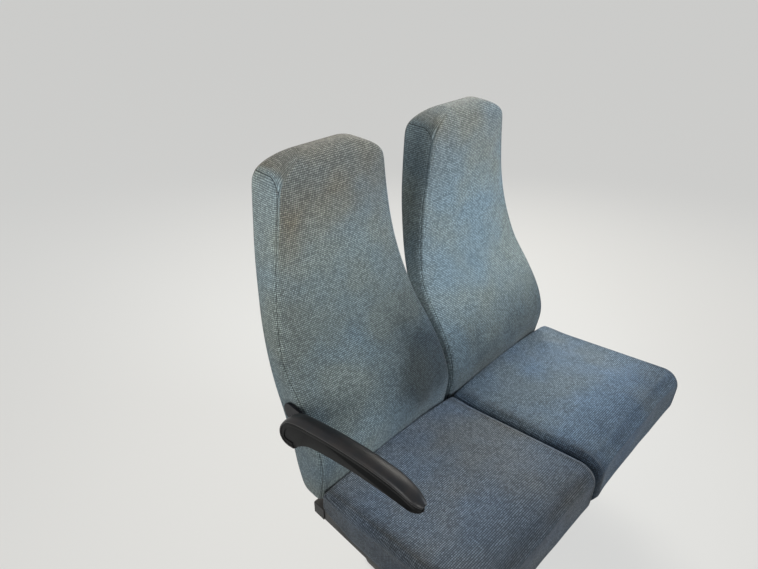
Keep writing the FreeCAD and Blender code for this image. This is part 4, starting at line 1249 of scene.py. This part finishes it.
bpy.ops.mesh.primitive_cube_add(size=1)
label = bpy.context.object
label.name = "new_belt_label"
bpy.ops.object.mode_set(mode="EDIT")
bpy.ops.mesh.subdivide(number_cuts=3)
bpy.ops.object.mode_set(mode="OBJECT")
shape = places(label) * (LABEL_WIDTH, LABEL_FAR - LABEL_NEAR, LABEL_THICK)
shape += (0, (LABEL_NEAR + LABEL_FAR) / 2, BELT_LIE + BELT_THICK / 2 + LABEL_THICK / 2)
shape[:, 2] += LABEL_CURL * (shape[:, 0] / LABEL_WIDTH * 2) ** 4
put(label, shape)
bevel_edges(label, 0.15 * MM, 60, 50)
label.data.transform(belt_to_bench)
# The label is woven white satin, smudged grey.
label_finish, tree, shader = finish_named("woven_satin_label")
place = add(tree, "TexCoord").outputs["Object"]
smudge = add(tree, "TexNoise", Vector=place, Scale=1 / LABEL_SMUDGE, Detail=4.0)
smudge = add(tree, "MapRange", smudge, 0.4, 0.75)
threads = add(tree, "TexWave", bands_direction="X", Vector=place, Scale=WAVE / LABEL_THREAD).outputs["Fac"]
grey = add(tree, "Mix", smudge, linear("#c4c4bf"), linear("#8f8c84"), **BLEND)
bump = add(tree, "Bump", Strength=0.2, Distance=0.1 * MM, Height=threads)
feed(shader, Base_Color=grey, Roughness=0.55, Normal=bump)
label.data.materials.append(label_finish)
for piece in (webbing, belt_thread, label):
    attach(piece, "bench")
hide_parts("belt_webbing")


# Floor and light: a pale studio floor, daylight from beside and behind the seat, and weaker light
# from the aisle. The floor is pale to the eye but throws back little light, as a dark one does.
STUDIO_SIZE = 60


def seen(tree):
    """1 for what the camera sees directly, in a reflection or through something; 0 for other light."""
    rays = add(tree, "LightPath").outputs
    glossy = add(tree, "Math", rays["Is Camera Ray"], rays["Is Glossy Ray"], operation="MAXIMUM")
    return add(tree, "Math", glossy, rays["Is Transmission Ray"], operation="MAXIMUM")


bpy.ops.mesh.primitive_plane_add(size=STUDIO_SIZE)
floor = bpy.context.object
floor.name = "studio_floor"
floor_finish, tree, shader = finish_named("studio_paint")
pale = add(tree, "Mix", seen(tree), linear("#6f7074"), linear("#8c8c8a"), **BLEND)
glow = add(tree, "MapRange", seen(tree), 0, 1, 0, 0.6)
feed(shader, Base_Color=pale, Roughness=0.9, Specular_IOR_Level=0.0)
feed(shader, Emission_Color=linear("#f4f4f2"), Emission_Strength=glow)
floor.data.materials.append(floor_finish)

world = bpy.data.worlds.new("studio")
scene.world = world
world.use_nodes = True
tree = world.node_tree
upward = add(tree, "SeparateXYZ", add(tree, "TexCoord").outputs["Generated"]).outputs["Z"]
from_windows = add(tree, "MapRange", upward, 0.15, 0.75, 0.5, 0.16)
strength = add(tree, "Mix", seen(tree), from_windows, 0.78, data_type="FLOAT")
feed(tree.nodes["Background"], Color=linear("#f6f7f8"), Strength=strength)


def lamp(name, place, target, size, power, colour, spread):
    """A soft square lamp that looks at a point; spread is how wide it throws its light, in degrees."""
    data = bpy.data.lights.new(name, "AREA")
    data.size = size
    data.energy = power
    data.color = linear(colour)[:3]
    data.spread = math.radians(spread)
    item = bpy.data.objects.new(name, data)
    scene.collection.objects.link(item)
    item.location = place
    item.rotation_euler = (Vector(target) - Vector(place)).to_track_quat("-Z", "Y").to_euler()


lamp("window_light", (1.9, 1.4, 2.2), (0.4, 0.1, 0.8), 1.4, 36, "#fffaf0", 140)
lamp("front_window_light", (1.5, -1.1, 1.6), (0.5, 0.3, 1.0), 0.9, 9.5, "#e8f3ff", 90)
lamp("front_light", (-1.7, -2.0, 1.9), (0.1, 0.3, 1.2), 1.2, 6.0, "#fffdf6", 52)
lamp("aisle_light", (-2.4, 0.5, 1.7), (-0.2, 0.25, 1.05), 1.4, 8.5, "#fffdf8", 76)
